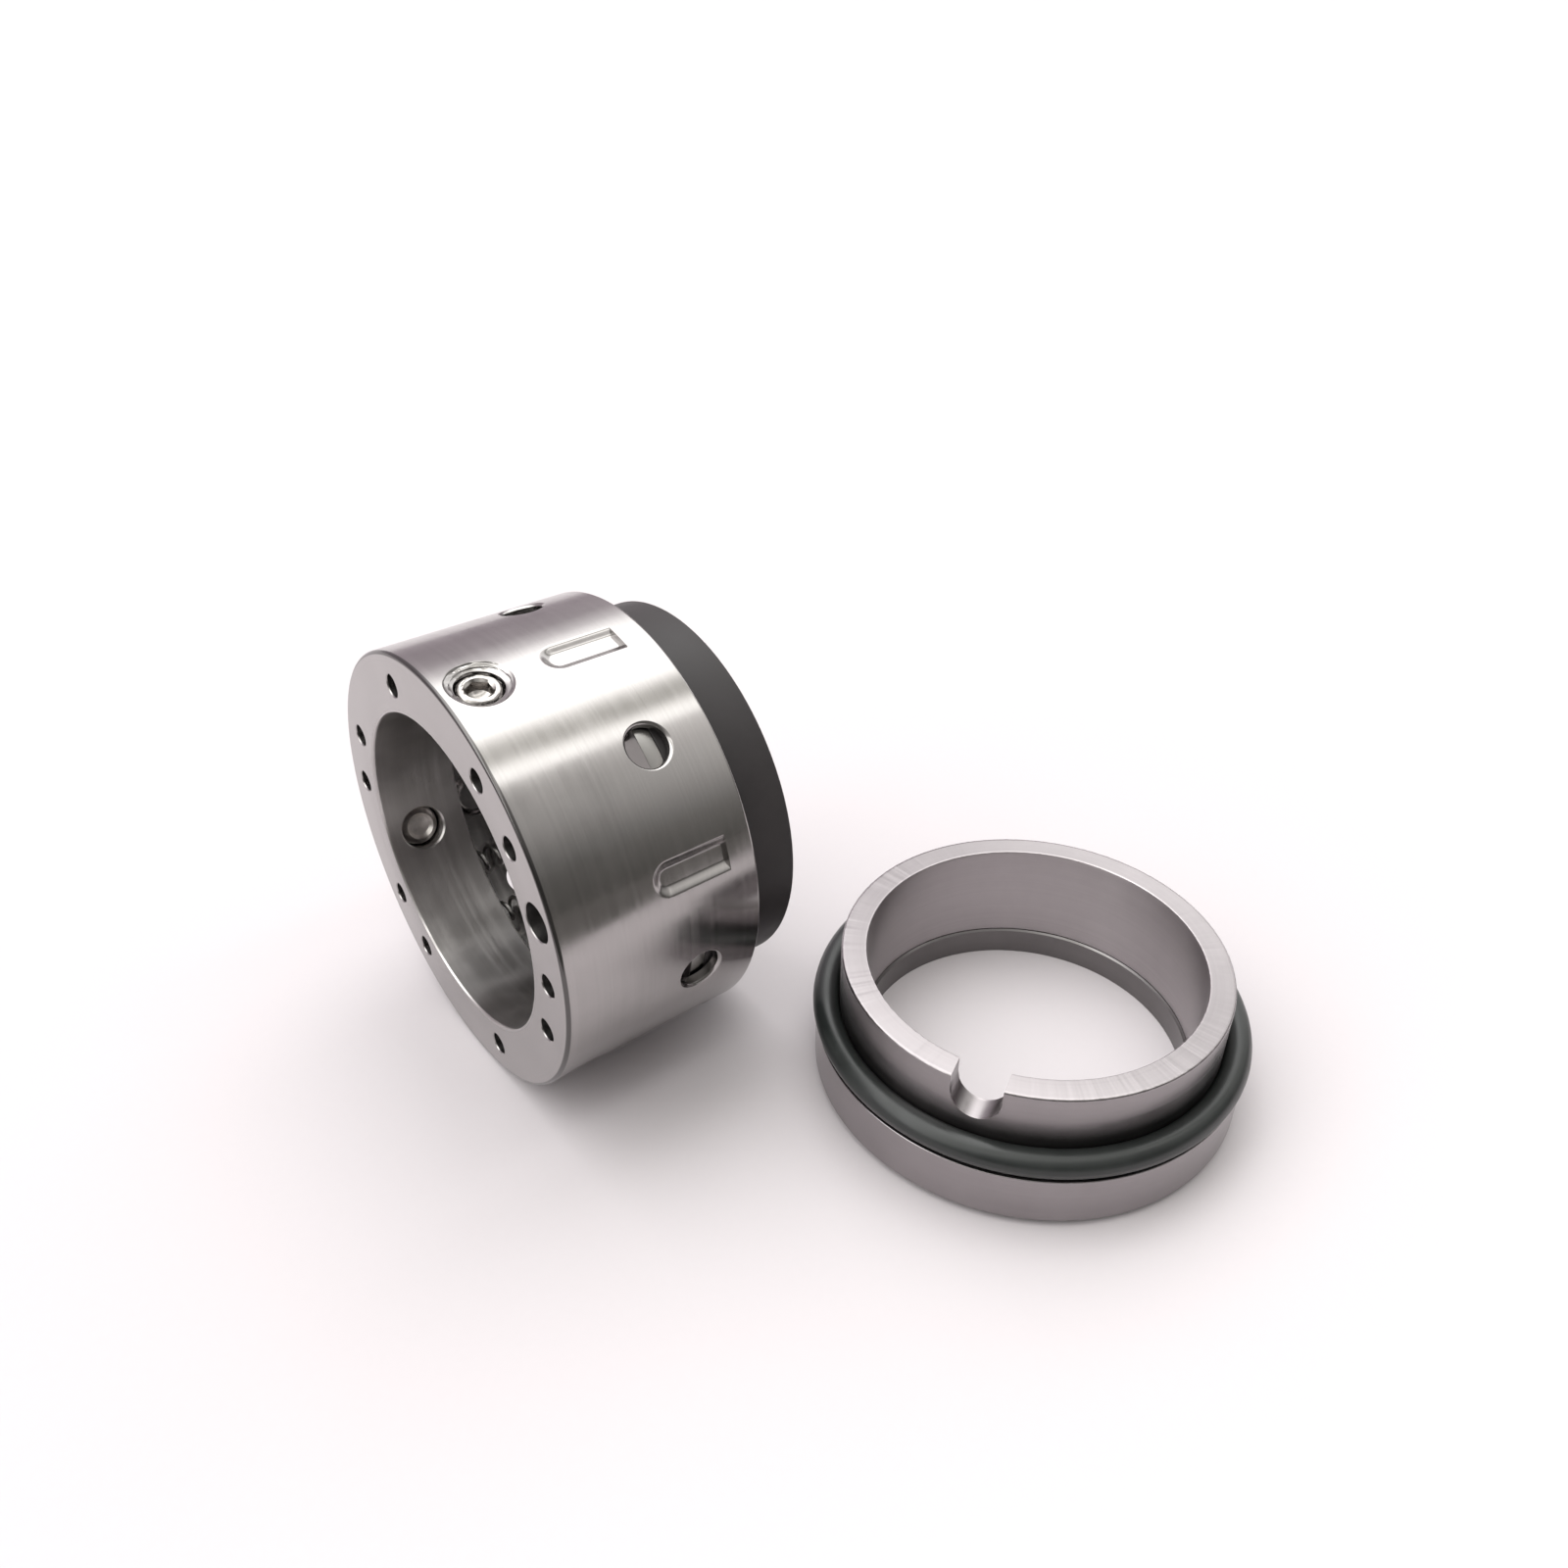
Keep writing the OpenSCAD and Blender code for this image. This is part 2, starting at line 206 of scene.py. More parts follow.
class Builder:
    """Collects points and faces in millimetres, with a kind for each face, and makes one mesh of them."""

    def __init__(self):
        self.points, self.faces, self.kinds = [], [], []

    def add(self, points):
        first = len(self.points)
        self.points.extend(tuple(map(float, p)) for p in points)
        return list(range(first, len(self.points)))

    def face(self, corners, kind=0):
        self.faces.append(tuple(corners))
        self.kinds.append(kind)

    def strip(self, a, b, kind=0, closed=True):
        for i in range(len(a) if closed else len(a) - 1):
            j = (i + 1) % len(a)
            self.face((a[i], a[j], b[j], b[i]), kind)

    def loft(self, rings, kind=0):
        """Joins rings of equal length, each a list of corners made before or of points to add."""
        ids = [list(r) if isinstance(r[0], int) else self.add(r) for r in rings]
        for a, b in zip(ids, ids[1:]):
            self.strip(a, b, kind)
        return ids

    def fan(self, ring_ids, centre):
        middle = self.add([centre])[0]
        for i, a in enumerate(ring_ids):
            self.face((a, ring_ids[(i + 1) % len(ring_ids)], middle))

    def sheet(self, outline, holes, inner, place, kind=0):
        """Fills a flat outline with triangles, leaves its holes open and returns each loop's corners."""
        flat, edges, loops = [], [], []
        for loop in [outline] + holes:
            first = len(flat)
            flat += [tuple(p) for p in loop]
            loops.append(range(first, len(flat)))
            edges += [(first + i, first + (i + 1) % len(loop)) for i in range(len(loop))]
        flat += [tuple(p) for p in inner]
        made = delaunay_2d_cdt([Vector(p) for p in flat], edges, [], 1, 1e-6)
        points = np.array([tuple(p) for p in made[0]])
        triangles = np.array([tuple(t) for t in made[2]])
        where = {old: new for new, olds in enumerate(made[3]) for old in olds}
        ids = self.add(place(points))
        middles = points[triangles].mean(axis=1)
        keep = np.ones(len(triangles), bool)
        for hole in holes:
            keep &= ~inside(np.array(hole), middles)
        for t in triangles[keep]:
            self.face([ids[c] for c in t], kind)
        return [[ids[where[i]] for i in loop] for loop in loops]

    def mesh(self, name):
        mesh = bpy.data.meshes.new(name)
        mesh.from_pydata([Vector(p) * MM for p in self.points], [], self.faces)
        return mesh

    def finish(self, name, slot, body, nodes, normals=None):
        """Makes the piece. normals gives, for a kind of face, a function from points to true normals."""
        mesh = self.mesh(name)
        mesh.attributes.new("kind", "INT", "FACE").data.foreach_set("value", self.kinds)
        shape = bmesh.new()
        shape.from_mesh(mesh)
        bmesh.ops.remove_doubles(shape, verts=shape.verts, dist=SAME_POINT * MM)
        bmesh.ops.recalc_face_normals(shape, faces=shape.faces)
        shape.to_mesh(mesh)
        shape.free()
        mesh.shade_smooth()
        mesh.set_sharp_from_angle(angle=math.radians(SHARP_ANGLE))
        if normals:
            set_normals(mesh, normals)
        mesh.attributes.remove(mesh.attributes["kind"])
        mesh.materials.append(LOOKS[slot])
        piece = add_object(name, mesh)
        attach(piece, body)
        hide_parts(*nodes)
        return piece


def add_object(name, data):
    made = bpy.data.objects.new(name, data)
    bpy.context.scene.collection.objects.link(made)
    return made


def mesh_data(items, key, kind=float, size=1):
    """One property of a mesh's corners, points or faces, as an array."""
    values = np.zeros(len(items) * size, kind)
    items.foreach_get(key, values)
    return values.reshape(-1, size) if size > 1 else values


def set_normals(mesh, normals):
    """Gives the faces of some kinds their true normals, so that a reflection runs smoothly over them."""
    corner = mesh_data(mesh.loops, "vertex_index", int)
    totals = mesh_data(mesh.polygons, "loop_total", int)
    at = mesh_data(mesh.vertices, "co", size=3)[corner] / MM
    kind = np.repeat(mesh_data(mesh.attributes["kind"].data, "value", int), totals)
    face_normal = np.repeat(mesh_data(mesh.polygons, "normal", size=3), totals, axis=0)
    result = np.zeros((len(corner), 3))
    for k, normal_at in normals.items():
        chosen = kind == k
        n = normal_at(at[chosen])
        n /= np.linalg.norm(n, axis=1, keepdims=True)
        n[(n * face_normal[chosen]).sum(axis=1) < 0] *= -1
        result[chosen] = n
    mesh.normals_split_custom_set([tuple(n) for n in result])


def inside(polygon, points):
    """Says which points lie inside a polygon."""
    low, high = polygon.min(axis=0), polygon.max(axis=0)
    near = np.flatnonzero(((points > low) & (points < high)).all(axis=1))
    x, y = points[near].T
    hit = np.zeros(len(near), bool)
    for (x0, y0), (x1, y1) in zip(polygon, np.roll(polygon, -1, axis=0)):
        if y0 != y1:
            hit ^= ((y0 > y) != (y1 > y)) & (x < (x1 - x0) * (y - y0) / (y1 - y0) + x0)
    result = np.zeros(len(points), bool)
    result[near[hit]] = True
    return result


def clear_of(loops, points, gap):
    """Leaves out the points that lie in a loop or nearer than gap to its corners."""
    keep = np.ones(len(points), bool)
    for loop in loops:
        loop = np.array(loop)
        low, high = loop.min(axis=0) - gap, loop.max(axis=0) + gap
        near = np.flatnonzero(((points > low) & (points < high)).all(axis=1))
        if len(near):
            apart = np.linalg.norm(points[near][:, None] - loop[None], axis=2).min(axis=1)
            keep[near[(apart < gap) | inside(loop, points[near])]] = False
    return points[keep]


# Walls and flat faces with holes: the steps of their grids, and the gaps between a grid and an edge
WALL_STEP, WALL_GAP, DENT_GAP = 1.1, 0.28, 0.1
FACE_GAP, FACE_IN, FACE_OUT = 0.25, 0.7, 0.5


def wall_sheet(b, r, x0, x1, holes, kind, zones=(), grids=(), push=None):
    """The wall of a cylinder with holes in it, and the corners of its ends and of its holes.

    grids are finer points for the zones, and push gives how far each point is pressed towards the axis.
    """
    xs = np.linspace(x0, x1, max(2, round((x1 - x0) / WALL_STEP)) + 1)
    ss = TURN * r * np.arange(RING + 1) / RING
    outline = [(x0, s) for s in ss] + [(x, ss[-1]) for x in xs[1:-1]]
    outline += [(x1, s) for s in ss[::-1]] + [(x, 0.0) for x in xs[-2:0:-1]]
    coarse = np.array([(x, s) for x in xs[1:-1] for s in ss[1:-1]])
    inner = [clear_of(holes + list(zones), coarse, WALL_GAP)]
    inner += [clear_of(holes, grid, DENT_GAP) for grid in grids]

    def place(p):
        angle = SEAM + p[:, 1] / r
        return SHAFT.ring(p[:, 0], r - (push(p[:, 0], angle) if push else 0), angle)

    edge, *loops = b.sheet(outline, holes, np.concatenate(inner), place, kind)
    return edge[:RING], edge[RING + len(xs) - 1:][:RING + 1][::-1][:RING], loops


def face_sheet(b, x, outer_r, holes, step, every, kind=0):
    """A flat face round the bore, and the corners of its outer edge, its inner edge and its holes."""
    reach = np.arange(BORE_R + BORE_BEVEL + FACE_IN, outer_r - FACE_OUT, step)
    inner = clear_of(holes, np.concatenate([ring(0, r)[::every, 1:] for r in reach]), FACE_GAP)
    outer, bore = ring(0, outer_r)[:, 1:], ring(0, BORE_R + BORE_BEVEL)[:, 1:]
    return b.sheet(outer, [bore] + holes, inner, lambda p: np.insert(p, 0, x, axis=1), kind)


# The dents: each has a round rear end and a sheared front end
DENT_EDGE = 1.35
DENT_SINK = DENT_DEPTH - 0.15
DENT_TIP = DENT_START + DENT_HALF
SHEAR_DRAFT = 0.04
OUTER_HALF, INNER_HALF = DENT_HALF + 0.1, DENT_HALF + 1.1
OUTER_GRID, INNER_GRID = (0.16, 0.4), (0.3, 0.8)


def dents(x, angle, r, half):
    """How far the dents press in the wall at radius r: flat at their middle, with soft sloping edges."""
    x, angle = np.broadcast_arrays(np.asarray(x, float), angle)
    across = np.abs(from_dent(angle) * r)
    apart = np.where(x < DENT_TIP, np.hypot(x - DENT_TIP, across), across)
    t = np.clip((half - apart) / DENT_EDGE, 0, 1)
    return np.where(x <= DENT_END - SHEAR_DRAFT / 2, DENT_SINK * t * t * (3 - 2 * t), 0)


def dented_normals(r, half):
    """True normals of a dented wall."""
    def normal_at(p):
        x, angle = p[:, 0], np.arctan2(-p[:, 1], p[:, 2])
        behind = x <= DENT_END - SHEAR_DRAFT / 2
        e = 0.01
        ahead = np.where(behind, np.minimum(x + e, DENT_END - SHEAR_DRAFT), x + e)
        slope_x = (dents(ahead, angle, r, half) - dents(x - e, angle, r, half)) / (ahead - x + e)
        slope_t = (dents(x, angle + e / r, r, half) - dents(x, angle - e / r, r, half)) / (2 * e)
        out = np.stack([slope_x * behind, -np.sin(angle), np.cos(angle)], axis=-1)
        side = np.stack([0 * x, -np.cos(angle), -np.sin(angle)], axis=-1)
        return out + (slope_t * behind)[:, None] * side
    return normal_at


def dent_zone(angle, r, half, fine, coarse):
    """A grid over one dent of an unrolled wall, finer at its round end, and the outline it fills."""
    reach = half + 0.12
    rear, front = DENT_TIP - reach, DENT_END + 0.1
    xs = np.arange(rear, DENT_END - SHEAR_DRAFT - 0.05, coarse)
    xs = np.concatenate([np.arange(rear, DENT_TIP, fine), xs[xs >= DENT_TIP + 0.3]])
    start = from_seam(angle) * r
    grid = np.array([(x, start + t) for x in xs for t in np.arange(-reach, reach + fine / 2, fine)])
    low, high = start - reach, start + reach
    return grid, [(rear, low), (front, low), (front, high), (rear, high)]


def shear_loop(angle, r, half):
    """The outline of a sheared end: its front edge, then its rear edge back."""
    ts = np.linspace(-half, half, 41)
    start = from_seam(angle) * r
    return [(DENT_END, start + t) for t in ts] + [(DENT_END - SHEAR_DRAFT, start + t) for t in ts[::-1]]


def dented_wall(b, r, half, x0, x1, holes, kind, steps):
    """A wall with the dents and round holes in it, and the corners of its ends and of the round holes."""
    grids, zones = zip(*[dent_zone(a, r, half, *steps) for a in DENT_ANGLES])
    shears = [shear_loop(a, r, half) for a in DENT_ANGLES]
    rear, front, loops = wall_sheet(b, r, x0, x1, holes + shears, kind, zones, grids,
                                    lambda x, angle: dents(x, angle, r, half))
    for loop in loops[len(holes):]:
        middle = len(loop) // 2
        b.strip(loop[:middle], loop[middle:][::-1], closed=False)
    return rear, front, loops[:len(holes)]


# Retainer: a hole's edge has a lip in the outer wall, and a screw hole has an uneven countersink
LIP, LIP_SUNK = 0.06, 0.04
SCREW_RIM = SCREW_HOLE_R + SCREW_FLARE
FLARE_WAVE = 0.12
HOLE_THREAD, THREAD_STEPS = 0.3, 10
WALL, SKIRT, REAR, BORE = 1, 2, 3, 4


def round_edge(x, way, size, count):
    """The outer wall's round edge, forwards where way is 1 and back where it is -1."""
    return [(x + way * size * math.sin(t), OUTER_R - size * (1 - math.cos(t)))
            for t in quarter(count)[1:]]


def bored(centre, count, rings):
    """Rings of (x, radius) in a hole of a flat face."""
    return [np.insert(circle(centre, r, count), 0, x, axis=1) for x, r in rings]


def make_retainer():
    b = Builder()
    holes = [hole_loop(SCREW_X, a, SCREW_RIM + LIP, OUTER_R) for a in SCREW_ANGLES]
    holes += [hole_loop(WASH_X, a, WASH_R + WASH_EDGE + LIP, OUTER_R) for a in WASH_ANGLES]
    rear, front, loops = dented_wall(
        b, OUTER_R, OUTER_HALF, REAR_BEVEL, RETAINER_LEN - FRONT_BEVEL, holes, WALL, OUTER_GRID)
    screws, washes = loops[:len(SCREW_ANGLES)], loops[len(SCREW_ANGLES):]

    # inner wall of the skirt, with the ribs that the dents raise
    holes = [hole_loop(WASH_X, a, WASH_R, SKIRT_R) for a in WASH_ANGLES]
    skirt_rear, skirt_front, loops = dented_wall(
        b, SKIRT_R, INNER_HALF, HUB_LEN, SNAP_X - SNAP_HALF, holes, SKIRT, INNER_GRID)
    edge = [(WASH_R + WASH_EDGE, 0.02), (WASH_R + 0.05, WASH_EDGE - 0.04), (WASH_R, WASH_EDGE + 0.03)]
    for angle, outer, inner in zip(WASH_ANGLES, washes, loops):
        at = radial_axis(WASH_X, angle)
        b.loft([outer] + [at.saddle(OUTER_R, r, sunk) for r, sunk in edge] + [inner])

    # front edge and the snap ring's groove
    groove_r, groove_rear, groove_front = SKIRT_R + SNAP_DEPTH, SNAP_X - SNAP_HALF, SNAP_X + SNAP_HALF
    profile = round_edge(RETAINER_LEN - FRONT_BEVEL, 1, FRONT_BEVEL, 6)
    profile += [(RETAINER_LEN, SKIRT_R + 0.1), (RETAINER_LEN - 0.1, SKIRT_R), (groove_front, SKIRT_R),
                (groove_front, groove_r), (groove_rear, groove_r)]
    b.loft([front] + [ring(x, r) for x, r in profile] + [skirt_front])

    # rear face, its edge and the bore
    spots = [face_spot(a, POCKET_PITCH_R) for a in SPRING_ANGLES]
    pin = face_spot(PIN_ANGLE, PIN_PITCH_R)
    holes = [circle(spot, VENT_R + HOLE_BEVEL, POCKET_SIDES) for spot in spots]
    holes.append(circle(pin, PIN_R + HOLE_BEVEL, PIN_SIDES))
    loops = face_sheet(b, 0, OUTER_R - REAR_BEVEL, holes, 0.75, 2, REAR)
    rear_outer, rear_inner, *vents, pin_loop = loops
    corner = [ring(x, r) for x, r in round_edge(REAR_BEVEL, -1, REAR_BEVEL, 7)[:-1]]
    b.loft([rear] + corner + [rear_outer])
    holes = [hole_loop(SCREW_X, a, SCREW_HOLE_R + 0.25, BORE_R) for a in SCREW_ANGLES]
    bore_rear, bore_front, bore_loops = wall_sheet(
        b, BORE_R, BORE_BEVEL, HUB_LEN - BORE_BEVEL, holes, BORE)
    b.loft([rear_inner, ring(0.1, BORE_R + 0.12), bore_rear])

    # front face of the hub, with the spring pockets
    holes = [circle(spot, POCKET_R, POCKET_SIDES) for spot in spots]
    hub_outer, hub_inner, *pockets = face_sheet(b, HUB_LEN, SKIRT_R, holes, 1.0, 3)
    b.loft([skirt_rear, hub_outer])
    b.loft([bore_front, hub_inner])
    rings = [(HOLE_BEVEL, VENT_R), (POCKET_FLOOR, VENT_R), (POCKET_FLOOR, POCKET_R)]
    for spot, vent, pocket in zip(spots, vents, pockets):
        b.loft([vent] + bored(spot, POCKET_SIDES, rings) + [pocket])
    rings = [(HOLE_BEVEL, PIN_R), (PIN_DEPTH, PIN_R), (PIN_DEPTH + 0.3, PIN_R - 0.5)]
    last = b.loft([pin_loop] + bored(pin, PIN_SIDES, rings))[-1]
    b.fan(last, (PIN_DEPTH + 0.9, *pin))

    # threaded holes of the set screws
    top, bottom = OUTER_R - SCREW_SINK - 0.1, BORE_R + 0.45
    levels = np.linspace(top, bottom, round((top - bottom) / THREAD_PITCH * THREAD_STEPS))
    for angle, outer, inner in zip(SCREW_ANGLES, screws, bore_loops):
        at = radial_axis(SCREW_X, angle)
        rings = [outer, at.saddle(OUTER_R, SCREW_RIM, LIP_SUNK)]
        for t in np.linspace(0, 1, 9)[1:]:
            wave = FLARE_WAVE * (1 + np.cos(TURN * t * 1.5 + HOLE_TURNS))
            wave = wave + uneven(HOLE_TURNS + 3 * t, FLARE_WAVE, (4, 7, 9, 13), (1, 2))
            r = SCREW_RIM - SCREW_FLARE * t + wave * math.sin(math.pi * t)
            rings.append(at.saddle(OUTER_R, r, LIP_SUNK + SCREW_SINK * t))
        for level in levels:
            thread = HOLE_THREAD * thread_wave(level, HOLE_TURNS)
            rings.append(at.ring(level, SCREW_HOLE_R + thread, HOLE_TURNS))
        b.loft(rings + [at.saddle(BORE_R, SCREW_HOLE_R + 0.02, -0.25), inner])
    b.finish("steel_retainer", "turned_steel", "fixed", ["retainer"], {
        WALL: dented_normals(OUTER_R, OUTER_HALF),
        SKIRT: dented_normals(SKIRT_R, INNER_HALF),
        REAR: SHAFT.normals((-1, 0)),
        BORE: SHAFT.normals((0, 1)),
    })


def thread_wave(level, angles):
    """Share of the thread's depth at a level along its axis and at angles round it."""
    return np.abs(((level / THREAD_PITCH + angles / TURN) % 1) * 2 - 1)


def uneven(angles, size, waves=(61, 83, 109, 138), slow=(3, 5)):
    """A small unevenness round an edge, from fixed waves."""
    fine = sum(np.sin(w * angles + w) for w in waves) / len(waves)
    coarse = sum(np.sin(w * angles + 2 * w) for w in slow) / len(slow)
    return size * fine * (0.6 + 0.5 * coarse)


# Turned pieces
def rounded(profile, steps=4):
    """Runs of a closed profile of (along, radius, round) corners: points, a normal and an arc's centre."""
    spots = np.array([c[:2] for c in profile], float)
    arcs = []
    for i, (spot, size) in enumerate(zip(spots, [c[2] for c in profile])):
        if size == 0:
            arcs.append(([spot], None))
            continue
        to_last, to_next = spots[i - 1] - spot, spots[(i + 1) % len(spots)] - spot
        to_last, to_next = to_last / np.linalg.norm(to_last), to_next / np.linalg.norm(to_next)
        half = math.acos(np.clip(to_last @ to_next, -1, 1)) / 2
        middle = (to_last + to_next) / np.linalg.norm(to_last + to_next)
        centre = spot + middle * size / math.sin(half)
        a, b = (spot + way * size / math.tan(half) - centre for way in (to_last, to_next))
        sweep = math.pi - 2 * half
        shares = [(math.sin(sweep * (1 - t)), math.sin(sweep * t)) for t in np.linspace(0, 1, steps + 1)]
        arcs.append(([centre + (a * of_a + b * of_b) / math.sin(sweep) for of_a, of_b in shares], centre))
    runs = []
    for i, (points, centre) in enumerate(arcs):
        if centre is not None:
            runs.append((points, None, centre))
        last, first = points[-1], arcs[(i + 1) % len(arcs)][0][0]
        runs.append(([last, first], (last[1] - first[1], first[0] - last[0]), None))
    return runs


def turned_piece(name, axis, profile, slot, body, nodes, limit=None, angles=EVEN):
    """Turns a closed profile. limit gives the largest radius at each angle."""
    b, normals = Builder(), {}
    most = limit(angles) if limit else np.inf
    for points, way, centre in rounded(profile):
        kind = 1 + len(normals)
        normals[kind] = axis.normals(way, centre)
        flat = centre is None and points[0][0] == points[1][0]
        cut = not flat and max(p[1] for p in points) > np.min(most)
        rings = [axis.ring(along, np.minimum(r, most), angles) for along, r in points]
        b.loft(rings, 0 if cut else kind)
    b.finish(name, slot, body, nodes, normals)


# Rings of the rotary unit: the notches for the dents' ribs lie round axes outside the skirt
NOTCH_R, NOTCH_AXIS_R, RINGS_R = 5.264, 32.264, SKIRT_R - 0.3
NOTCH_HALF = math.acos((RINGS_R ** 2 + NOTCH_AXIS_R ** 2 - NOTCH_R ** 2) / (2 * RINGS_R * NOTCH_AXIS_R))
RING_BORE_R, THRUST_X, THRUST_FRONT = bore_of("face_ring_bore"), 18.6, 20.6
FACE_BACK_X, FLANGE_X, FACE_X, NOSE_R = 20.6, 25.0, 35.7, 25.975
O_POCKET_X, O_POCKET_R, LAND_R, LAND_BACK = 24.8, 24.95, 22.8, 34.9


def notch_limit(angles):
    """Largest radius of a ring that the notches leave at each angle."""
    off = from_dent(angles)
    across = np.minimum(np.abs(NOTCH_AXIS_R * np.sin(off)), NOTCH_R)
    reach = NOTCH_AXIS_R * np.cos(off) - np.sqrt(NOTCH_R ** 2 - across ** 2)
    return np.where(np.abs(off) < NOTCH_HALF - 1e-9, reach, RINGS_R)


def make_rings():
    edges = np.array([math.radians(a) + side * NOTCH_HALF for a in DENT_ANGLES for side in (-1, 1)])
    angles = np.sort(np.concatenate([EVEN + 0.001, edges % TURN]))
    turned_piece("thrust_plate", SHAFT, [
        (THRUST_X, RING_BORE_R, 0.15), (THRUST_X, RINGS_R, 0.12), (THRUST_FRONT, RINGS_R, 0.12),
        (THRUST_FRONT, RING_BORE_R, 0.15),
    ], "ring_steel", "face_unit", ["thrust_ring"], notch_limit, angles)
    turned_piece("seal_face_ring", SHAFT, [
        (FACE_BACK_X, O_POCKET_R, 0.2), (FACE_BACK_X, RINGS_R, 0.25),
        (FLANGE_X, RINGS_R, 0.2), (FLANGE_X, NOSE_R, 0.15), (FACE_X, NOSE_R, 0.35),
        (FACE_X, LAND_R, 0.06), (LAND_BACK, LAND_R, 0.15), (LAND_BACK, RING_BORE_R, 0.2),
        (O_POCKET_X, RING_BORE_R, 0.15), (O_POCKET_X, O_POCKET_R, 0.3),
    ], "carbon", "face_unit", ["face_ring"], notch_limit, angles)


# O-rings, the snap ring and the springs
O_RING_SIDES = 56
SHAFT_O_X, SHAFT_O_AT, SHAFT_O_R = 22.7, 23.1, 1.75
SNAP_WIRE_R, SNAP_R, SNAP_GAP = 0.7, 27.8, 14
SPRING_R, SPRING_WIRE_R, SPRING_TURNS = 1.85, 0.3, 6
SPRING_START, SPRING_END, TRAVEL = 3.6, 18.5, 6.5
CAP = 0.25


def tube(b, axis, along, r, angles, size, sides, closed=False):
    """Sweeps a round section along a ring or a helix. size is a radius, or a radius for each side."""
    t = turns(sides)
    size = np.broadcast_to(size, (sides,))
    outs = axis.ring(0, 1, angles) - axis.origin
    centres = axis.ring(along, r, angles)
    rings = [b.add(c + np.outer(size * np.cos(t), out) + np.outer(size * np.sin(t), axis.along))
             for c, out in zip(centres, outs)]
    for first, second in zip(rings, rings[1:] + (rings[:1] if closed else [])):
        b.strip(first, second)
    if not closed:
        cap(b, rings[0], centres[0], centres[1], size[0])
        cap(b, rings[-1], centres[-1], centres[-2], size[0])


def cap(b, ring_ids, centre, before, r):
    """Closes a wire's end with a low rounded cap, away from the centre before it."""
    way = (centre - before) / np.linalg.norm(centre - before)
    rim = np.array([b.points[i] for i in ring_ids])
    rings = [centre + (rim - centre) * (1 - CAP + CAP * math.cos(t)) + way * r * CAP * math.sin(t)
             for t in quarter(4)[1:-1]]
    b.fan(b.loft([ring_ids] + rings)[-1], centre + way * r * CAP)


def make_o_ring(name, axis, along, r, section, body, node, flash):
    """An O-ring. flash is the height of the moulding line round its outside."""
    b = Builder()
    line = np.exp(-(np.sin(turns(O_RING_SIDES)) / 0.06) ** 2)
    tube(b, axis, along, r, EVEN, section - flash + flash * line, O_RING_SIDES, True)
    b.finish(name, "rubber", body, [node])


def make_snap_ring():
    b = Builder()
    half = SNAP_GAP / 2 + 0.4
    angles = np.radians(np.linspace(180 + half, 540 - half, 241))
    tube(b, SHAFT, SNAP_X, SNAP_R, angles, SNAP_WIRE_R, 24)
    b.finish("snap_ring_wire", "wire_steel", "fixed", ["snap_ring"])


def make_springs():
    """Ten coil springs with a closed turn at each end."""
    b = Builder()
    length = SPRING_END - SPRING_START
    wire = 2 * SPRING_WIRE_R
    turn = np.linspace(0, SPRING_TURNS + 2, (SPRING_TURNS + 2) * 28 + 1)
    middle = wire + (length - 3 * wire) * (turn - 1) / SPRING_TURNS
    last = length - 2 * wire + wire * (turn - SPRING_TURNS - 1)
    rise = np.where(turn < 1, wire * turn, np.where(turn > SPRING_TURNS + 1, last, middle))
    for angle in SPRING_ANGLES:
        at = radial_axis(SPRING_START, angle, POCKET_PITCH_R)
        coil = Axis(at.origin, (1, 0, 0), -at.side, at.along)
        tube(b, coil, SPRING_WIRE_R + rise, SPRING_R - SPRING_WIRE_R, TURN * turn, SPRING_WIRE_R, 10)
    nodes = ["spring_%02d" % (i + 1) for i in range(len(SPRING_ANGLES))]
    piece = b.finish("coil_springs", "wire_steel", "fixed", nodes)
    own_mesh(piece)


# Set screws, each along its own axis from the cup point to the socket end
SCREW_TIP_R, SCREW_LEN, SCREW_R, SCREW_POINT_R, SCREW_BEVEL = 22.6, 6.0, 2.92, 1.9, 0.5
SOCKET_AF, SOCKET_DEPTH, SOCKET_MOUTH, SOCKET_DISH = 3.0, 1.5, 0.35, 2.2
SCREW_THREAD, SCREW_SIDES, EDGE = 0.42, 72, 0.03


